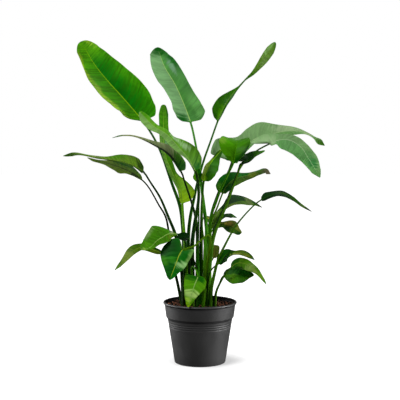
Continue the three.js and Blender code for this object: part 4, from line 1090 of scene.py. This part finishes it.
for number, row in enumerate(leaves):
    leaf = plainLeaf | row
    surface, leafMap, leafShare = leafSurface(leaf)
    points, faces, (leafMap, leafShare) = skin(surface, [leafMap, leafShare])
    material = leafMaterial(leaf, number)
    values = {"leafMap": leafMap, "leafShare": leafShare}
    piece = addPiece(leaf["name"] + "_fine", points, faces, material, sharp=50, attributes=values)
    finishPiece(piece, leaf["name"])
print("leaves:", len(leaves))

pot = {
    "height": 203,
    "wall": 2,
    "rimRadius": 121.5,
    "rimRoll": 4,
    "bandTop": 117,  # radius at the top of the upper band, and at its foot
    "bandFoot": 112,
    "bandFootHeight": 153.5,
    "bodyTop": 107.0,
    "bodyTopHeight": 145.5,
    "baseRadius": 84.6,
    "baseCorner": 3,
    "recess": 2,  # how far the ring under the base is raised
    "padRadius": 34,
    "footRing": 72,
    "chamfer": [0.4, 1.6],  # at the base's corner: how far in, and how high
    "plainHeights": [20, 35, 50, 65, 80, 95],
    "grooved": [112, 140, 75],  # heights from and to, and how many rings
    "grooves": [121.5, 128.5, 135.5],
    "grooveDepth": 0.5,
    "grooveHalf": 3.0,
    "shoulderFoot": 140.5,
    "lipArc": [-75, 150, 20],  # angles from and to, and how many points
    "lipFoot": 2.4,  # how many lip radii below the rim the band ends
    "holes": 8,
    "holeRadius": 5,
    "drill": [-6, 10],  # from and to, past the floor on both sides
    "drillSides": 32,
    "segments": 160,
    "round": 1.6,  # radius of the moulded corners
    "bandRound": 0.8,  # and how much of it the band's corners have
    "sharp": 35,  # angle past which an edge stays sharp
    "colour": "#343434",
    "flowColour": "#404040",
    "grain": 0.8,
    "grainHeight": 0.2,
    "grainStrength": 0.35,
    "flow": 60,
    "roughness": [0.45, 0.57],
    "inside": 0.08,  # painted shade: how light the inside is beside the outside, in colour and specular level
    "shadedInsideFacing": [-0.8, 0.0],  # cosines between which the inside turns into the outside
    "upward": 0.4,  # painted shade: how light faces that look up are, the lip's upper side among them
    "shadedUpwardFacing": [0.0, 0.9],
}


def bodyRadius(height):  # straight from the base's corner to the top of the body
    share = (height - pot["baseCorner"]) / (pot["bodyTopHeight"] - pot["baseCorner"])
    return pot["baseRadius"] + (pot["bodyTop"] - pot["baseRadius"]) * share


# Corners of a profile turned into arcs: each corner becomes a quadratic curve between points a
# little before and after it, at most 0.4 of the way to the next corner
def rounded(profile, reach, steps=5, most=0.4):
    profile = np.asarray(profile, float)
    out = [profile[0]]
    for before, corner, after in zip(profile, profile[1:], profile[2:]):
        a = corner + unit(before - corner) * min(reach, most * np.linalg.norm(before - corner))
        b = corner + unit(after - corner) * min(reach, most * np.linalg.norm(after - corner))
        x = np.linspace(0, 1, steps)[:, None]
        out += list((1 - x) ** 2 * a + 2 * x * (1 - x) * corner + x**2 * b)
    return np.array(out + [profile[-1]])


# A profile of radius and height turned round Z, with a pole where the radius is 0
def turned(profile, segments):
    profile = np.asarray(profile, float)
    angle = 2 * np.pi * np.arange(segments) / segments
    inner = profile[1:-1]
    ring = np.stack([np.cos(angle), np.sin(angle)], -1)
    xy = inner[:, None, :1] * ring[None]
    z = np.broadcast_to(inner[:, None, 1:], xy.shape[:2] + (1,))
    points = np.concatenate([xy, z], -1).reshape(-1, 3)
    faces = gridFaces(len(inner), segments)
    start, end = len(points), len(points) + 1
    last = (len(inner) - 1) * segments
    faces += [[start, (k + 1) % segments, k] for k in range(segments)]
    faces += [[end, last + k, last + (k + 1) % segments] for k in range(segments)]
    points = np.vstack([points, [0, 0, profile[0][1]], [0, 0, profile[-1][1]]])
    return points, faces


# Radius and height from the middle of the base, up the outside with its grooves, each a squared
# cosine, round the lip, and down the inside to the middle of the floor
def potProfile():
    wall, recess, corner = pot["wall"], pot["recess"], pot["baseCorner"]
    floor = recess + wall
    body = [pot["bodyTop"], pot["bodyTopHeight"]]
    band = [pot["bandFoot"], pot["bandFootHeight"]]
    centre = [pot["rimRadius"] - pot["rimRoll"], pot["height"] - pot["rimRoll"]]
    angle = np.radians(np.linspace(*pot["lipArc"]))
    lip = centre + pot["rimRoll"] * np.stack([np.cos(angle), np.sin(angle)], -1)
    heights = np.linspace(*pot["grooved"])
    away = np.clip((heights - np.array(pot["grooves"])[:, None]) / pot["grooveHalf"], -1, 1)
    dip = np.sum(np.cos(away * np.pi / 2) ** 2, 0)
    grooved = np.stack([bodyRadius(heights) - pot["grooveDepth"] * dip, heights], -1)
    plain = [[bodyRadius(height), height] for height in pot["plainHeights"]]
    foot = [[0, 0], [pot["padRadius"], 0], [pot["padRadius"] + recess, recess]]
    foot += [[pot["footRing"] - recess, recess], [pot["footRing"], 0]]
    inward, upward = pot["chamfer"]
    foot += [[pot["baseRadius"] - corner, 0], [pot["baseRadius"] - inward, upward], plain[0]]
    shoulder = [[bodyRadius(pot["shoulderFoot"]), pot["shoulderFoot"]], body, band]
    shoulder += [[pot["bandTop"], pot["height"] - pot["lipFoot"] * pot["rimRoll"]], lip[0]]
    inside = [lip[-1], [pot["bandTop"] - wall, pot["height"] - 2 * pot["rimRoll"]]]
    inside += [[radius - wall, height] for radius, height in (band, body, (bodyRadius(floor), floor))]
    foot = rounded(foot, pot["round"])
    shoulder = rounded(shoulder, pot["bandRound"] * pot["round"])
    inside = rounded(inside + [[0, floor]], pot["round"])
    return np.vstack([foot, plain[1:], grooved, shoulder[:-1], lip, inside[1:]])


# Black polypropylene, injection moulded with a fine spark-eroded grain: a satin skin whose broad
# highlight is soft. Grain is drawn at 0.8 mm, and slow flow marks make it a little uneven.
def potMaterial():
    material, tree, shader = newMaterial("moulded black polypropylene", IOR=1.49)
    add = partial(addNode, tree)
    position = add("TexCoord", [], "Object")
    grain = add("TexNoise", {"Vector": position, "Scale": 1 / (pot["grain"] * mm), "Detail": 2.0})
    flow = add("TexNoise", {"Vector": position, "Scale": 1 / (pot["flow"] * mm), "Detail": 3.0})
    colour = add("Mix", {0: flow, 6: linear(pot["colour"]), 7: linear(pot["flowColour"])}, **mixed)

    # painted shade: the inside, where the surface looks back to the pot's axis, and faces that look
    # up are darkened, in colour and in specular level
    normal = add("NewGeometry", [], "Normal")
    radial = add("VectorMath", [position, (1, 1, 0)], **times)
    outward = add("VectorMath", [radial], operation="NORMALIZE")
    facing = add("VectorMath", [outward, normal], 1, operation="DOT_PRODUCT")
    share = add("MapRange", [facing, *pot["shadedInsideFacing"], pot["inside"], 1.0])
    level = add("SeparateXYZ", [normal], 2)
    upward = add("MapRange", [level, *pot["shadedUpwardFacing"], 1.0, pot["upward"]])
    share = add("Math", [share, upward], **times)
    colour = add("Mix", {0: 1.0, 6: colour, 7: share}, blend_type="MULTIPLY", **mixed)
    least, most = pot["roughness"]
    rough = add("MapRange", [flow, *usual, least, most])
    far, strength = pot["grainHeight"] * mm, pot["grainStrength"]
    bump = add("Bump", {"Height": grain, "Distance": far, "Strength": strength})
    tree.links.new(colour, shader.inputs["Base Color"])
    tree.links.new(share, shader.inputs["Specular IOR Level"])
    tree.links.new(rough, shader.inputs["Roughness"])
    tree.links.new(bump, shader.inputs["Normal"])
    return material


potPoints, potFaces = turned(potProfile(), pot["segments"])
potPiece = addPiece("pot_fine", potPoints, potFaces, potMaterial(), sharp=pot["sharp"])

# drainage holes, cut through the floor by round drills
bottom, top = pot["drill"]
profile = [[0, bottom], [pot["holeRadius"], bottom], [pot["holeRadius"], top], [0, top]]
drillPoints, drillFaces = turned(profile, pot["drillSides"])
middle = (pot["padRadius"] + pot["footRing"]) / 2
angles = [2 * math.pi * (k + 0.5) / pot["holes"] for k in range(pot["holes"])]
points = [drillPoints + [middle * math.cos(angle), middle * math.sin(angle), 0] for angle in angles]
faces = [[i + k * len(drillPoints) for i in face] for k in range(pot["holes"]) for face in drillFaces]
cutter = addPiece("drills", np.vstack(points), faces, potPiece.data.materials[0])
cut = potPiece.modifiers.new("holes", "BOOLEAN")
cut.operation, cut.object, cut.solver = "DIFFERENCE", cutter, "EXACT"
cutMesh = bpy.data.meshes.new_from_object(potPiece.evaluated_get(bpy.context.evaluated_depsgraph_get()))
potPiece.modifiers.clear()
potPiece.data = cutMesh
bpy.data.objects.remove(cutter)
cutMesh.set_sharp_from_angle(angle=math.radians(pot["sharp"]))
finishPiece(potPiece, "pot")
print("pot:", len(cutMesh.polygons), "faces")

soil = {
    "brimDepth": 2,  # how far the soil's brim lies below its nominal top
    "bump": 2.2,  # height of the lumps, which are waves 57, 48 and 19 mm long
    "waves": [0.11, 0.13, 0.23],  # radians for each mm, along X, along Y and along both
    "waveStarts": [1.3, -0.4],
    "slantedWave": 0.6,  # height of the third beside the others
    "crown": 7,  # how far the soil rises towards its middle
    "gap": 0.35,  # between the soil and the pot's wall
    "segments": 140,
    "rings": 60,
    "grit": 2.2,  # height of the fine lumps
    "gritSizes": [[14, 0.6], [6, 0.9], [3, 0.6]],  # size and share of each
    "brimFade": [1.0, 0.93],  # shares of the radius, from level to fully rough
    "ringPower": 0.8,  # below 1, the rings are closer at the brim
    "crumbs": 480,
    "seed": 7,
    "crumbSize": [2.6, 8.5],  # radius
    "crumbLeast": 0.6,
    "crumbClear": 0.6,  # how far from a stalk, in crumb radii
    "dents": [0.72, 1.15],  # how far each corner is pushed in or out
    "stretch": [0.7, 1.1],
    "crumbReach": 0.965,  # how near the brim they come
    "crumbRise": 0.4,  # how far a crumb's middle stands out of the soil, in radii
    "dark": "#0c0604",
    "pale": "#a46a50",
    "clods": 5,
    "clodHeight": 1.5,
    "clodStrength": 0.8,
    "patches": 28,
    "contrast": [0.93, 1.26],
}
soilBrim = soilTop - soil["brimDepth"]
wallInset = pot["wall"] + soil["gap"]
bandHeight = pot["height"] - 2 * pot["rimRoll"] - pot["bandFootHeight"]
bandRise = (soilTop - pot["bandFootHeight"]) / bandHeight
brim = pot["bandFoot"] - wallInset + (pot["bandTop"] - pot["bandFoot"]) * bandRise


# Height of the soil: a low crown, lumps as a sine times a cosine plus a slanted sine, and three
# sizes of noise for the grit, all level at the brim
def soilHeight(x, y):
    share = np.hypot(x, y) / brim
    waveX, waveY, slanted = soil["waves"]
    startX, startY = soil["waveStarts"]
    lump = np.sin(waveX * x + startX) * np.cos(waveY * y + startY)
    lump = lump + soil["slantedWave"] * np.sin(slanted * (x - y))
    flat = np.stack([x, y, 0 * x], -1)
    grit = sum(valueNoise(flat, cell, cell) * weight for cell, weight in soil["gritSizes"])
    rough = smoothStep(share, *soil["brimFade"]) * (soil["bump"] * lump + soil["grit"] * grit)
    return soilBrim + rough + soil["crown"] * (1 - share) ** 2


# The soil as a turned profile a little inside the pot's wall, with its top raised to soilHeight
def soilSurface():
    floor = pot["recess"] + wallInset
    wall = [[0, floor], [bodyRadius(floor) - wallInset, floor]]
    wall += [[pot["bodyTop"] - wallInset, pot["bodyTopHeight"]]]
    wall += [[pot["bandFoot"] - wallInset, pot["bandFootHeight"]]]
    shares = np.linspace(1, 0, soil["rings"] + 1)[:-1] ** soil["ringPower"]
    top = [[brim * share, soilBrim] for share in shares]
    points, faces = turned(wall + top + [[0, soilBrim]], soil["segments"])
    onTop = np.abs(points[:, 2] - soilBrim) < 0.01
    points[onTop, 2] = soilHeight(points[onTop, 0], points[onTop, 1])
    return points, faces


# Crumbs: an icosahedron, its corners pushed in and out at random, turned, and partly sunk in the
# soil at a random place that is clear of the stalks' feet
def crumbs():
    rng = np.random.default_rng(soil["seed"])
    golden = (1 + 5**0.5) / 2
    corners = [[s, g * golden, 0] for s in (-1, 1) for g in (-1, 1)]
    corners += [[0, s, g * golden] for s in (-1, 1) for g in (-1, 1)]
    corners += [[g * golden, 0, s] for s in (-1, 1) for g in (-1, 1)]
    corners = unit(np.array(corners, float))
    sides = len(corners)
    faces = []
    longest = 1.1  # neighbours are 1.05 radii apart
    for face in combinations(range(sides), 3):
        a, b, c = corners[list(face)]
        if max(np.linalg.norm(a - b), np.linalg.norm(b - c), np.linalg.norm(a - c)) < longest:
            faces.append(face if np.dot(np.cross(b - a, c - a), a) > 0 else face[::-1])

    feet = np.array([leaf["root"] for leaf in leaves])
    places, sizes = [], []
    while len(places) < soil["crumbs"]:
        angle, away = rng.uniform(0, 2 * np.pi), brim * soil["crumbReach"] * rng.uniform(0, 1) ** 0.5
        spot = np.array([away * np.cos(angle), away * np.sin(angle)])
        size = rng.uniform(*soil["crumbSize"]) * rng.uniform(soil["crumbLeast"], 1)
        fromFeet = np.hypot(*(feet[:, :2] - spot).T)
        if np.all(fromFeet > feet[:, 2] + soil["crumbClear"] * size) and away + size < brim:
            places.append(spot)
            sizes.append(size)
    places, sizes = np.array(places), np.array(sizes)
    dents = rng.uniform(*soil["dents"], (len(places), sides, 1))
    shapes = corners[None] * dents * rng.uniform(*soil["stretch"], (len(places), 1, 3))
    turn = np.linalg.qr(rng.normal(size=(len(places), 3, 3)))[0]
    turn = turn * np.sign(np.linalg.det(turn))[:, None, None]
    shapes = np.einsum("nij,nkj->nki", turn, shapes) * sizes[:, None, None]
    heights = soilHeight(places[:, 0], places[:, 1]) + soil["crumbRise"] * sizes
    points = shapes + np.concatenate([places, heights[:, None]], 1)[:, None]
    cornerRows = (np.array(faces)[None] + sides * np.arange(len(places))[:, None, None]).reshape(-1, 3)
    return points.reshape(-1, 3), cornerRows.tolist()


# Potting soil: peat and bark fines, loosely filled, moist. Matt and nearly black in the gaps, with
# red-brown fibres, clods drawn at 5 mm and crumbs from 3 to 17 mm across.
def soilMaterial():
    material, tree, shader = newMaterial("loose potting soil", Roughness=0.95, Specular_IOR_Level=0.2)
    add = partial(addNode, tree)
    position = add("TexCoord", [], "Object")
    scale = 1 / (soil["clods"] * mm)
    clods = add("TexNoise", {"Vector": position, "Scale": scale, "Detail": 4.0, "Roughness": 0.65})
    patches = add("TexNoise", {"Vector": position, "Scale": 1 / (soil["patches"] * mm), "Detail": 2.0})
    total = add("Math", [clods, patches], operation="ADD")
    low, high = soil["contrast"]
    share = add("MapRange", [total, low, high], **smooth)
    colour = add("Mix", {0: share, 6: linear(soil["dark"]), 7: linear(soil["pale"])}, **mixed)
    far, strength = soil["clodHeight"] * mm, soil["clodStrength"]
    bump = add("Bump", {"Height": clods, "Distance": far, "Strength": strength})
    tree.links.new(colour, shader.inputs["Base Color"])
    tree.links.new(bump, shader.inputs["Normal"])
    return material


soilPoints, soilFaces = soilSurface()
crumbPoints, crumbFaces = crumbs()
soilFaces = soilFaces + [[i + len(soilPoints) for i in f] for f in crumbFaces]
soilPiece = addPiece("soil_fine", np.vstack([soilPoints, crumbPoints]), soilFaces, soilMaterial(), sharp=60)
finishPiece(soilPiece, "soil")
print("soil:", len(soilFaces), "faces")

studio = {
    "camera": (0.0, -3.5, 0.8),
    "target": (0.0, 0.0, 0.538),
    "lens": 96.2,
    "sensor": 36,
    "backdrop": 1.0,  # what the camera sees behind the plant
    "skyTop": 0.3,
    "skyLow": 0.0,
    "skyFade": [-0.2, 0.8],  # heights of the direction between which it changes
    "lamps": [  # name, place, aimed at, size, watts
        ["key", (-1.6, -1.6, 2.4), (0, 0, 0.5), 1.1, 62],
        ["right", (2.0, -0.3, 0.5), (0, 0, 0.2), 1.2, 50],
        ["left", (-1.8, 0.8, 0.5), (0, 0, 0.2), 1.0, 28],
        ["top", (0.3, 1.0, 2.7), (0, 0, 0.6), 1.8, 14],
    ],
    "floorReach": 12000,  # in millimetres, as the depth is
    "floorDepth": 0.4,  # just below the pot's base
    "floorColour": "#b4b4b4",
    "floorGlow": [0.38, 1.0],  # glow beside the pot, dimmed there as a painted shadow, and from 0.2 m away
    "glowReach": [0.085, 0.2],
    "glowCentre": (0.019, 0.02, 0),
}

camera = bpy.data.cameras.new("camera")
camera.lens, camera.sensor_width = studio["lens"], studio["sensor"]
view = bpy.data.objects.new("camera", camera)
view.location = studio["camera"]
away = np.array(studio["target"]) - np.array(studio["camera"])
tilt = math.atan2(away[2], math.hypot(away[0], away[1]))
view.rotation_euler = (math.pi / 2 + tilt, 0, -math.atan2(away[0], away[1]))
scene.collection.objects.link(view)
scene.camera = view

for name, place, target, size, watts in studio["lamps"]:
    lamp = bpy.data.lights.new(name, "AREA")
    lamp.size, lamp.energy = size, watts
    holder = bpy.data.objects.new(name, lamp)
    holder.location = place
    aim = np.array(target) - np.array(place)
    lean = math.acos(-aim[2] / np.linalg.norm(aim))
    holder.rotation_euler = (lean, 0, math.atan2(aim[1], aim[0]) - math.pi / 2)
    scene.collection.objects.link(holder)

# the world is white to the camera, and for light a soft sky that fades below the horizon
world = bpy.data.worlds.new("studio")
world.use_nodes = True
scene.world = world
sky = world.node_tree
background = sky.nodes["Background"]
height = addNode(sky, "SeparateXYZ", [addNode(sky, "TexCoord", [], "Generated")], 2)
low, high = studio["skyFade"]
fade = addNode(sky, "MapRange", [height, low, high, studio["skyLow"], studio["skyTop"]])
seen = addNode(sky, "LightPath", [], "Is Camera Ray")
strength = addNode(sky, "Mix", {0: seen, 2: fade, 3: studio["backdrop"]}, data_type="FLOAT")
sky.links.new(strength, background.inputs["Strength"])
background.inputs["Color"].default_value = (1, 1, 1, 1)

# matt white paper, lit from within so that only soft shadows show; the glow dims round the
# pot's foot, a painted shadow
paper, paperTree, paperShader = newMaterial("white studio paper", Roughness=0.9)
paperShader.inputs["Base Color"].default_value = linear(studio["floorColour"])
paperShader.inputs["Emission Color"].default_value = (1, 1, 1, 1)
place = addNode(paperTree, "TexCoord", [], "Object")
reach = addNode(paperTree, "VectorMath", [place, studio["glowCentre"]], 1, operation="DISTANCE")
near, far = studio["glowReach"]
shadowGlow, full = studio["floorGlow"]
glow = addNode(paperTree, "MapRange", [reach, near, far, shadowGlow, full])
paperTree.links.new(glow, paperShader.inputs["Emission Strength"])
edge, low = studio["floorReach"], -studio["floorDepth"]
corners = [[-edge, -edge, low], [edge, -edge, low], [edge, edge, low], [-edge, edge, low]]
floor = addPiece("floor", corners, [[0, 1, 2, 3]], paper)
floor.visible_diffuse = floor.visible_glossy = False

scene.view_settings.view_transform = "Standard"
print("studio: done")
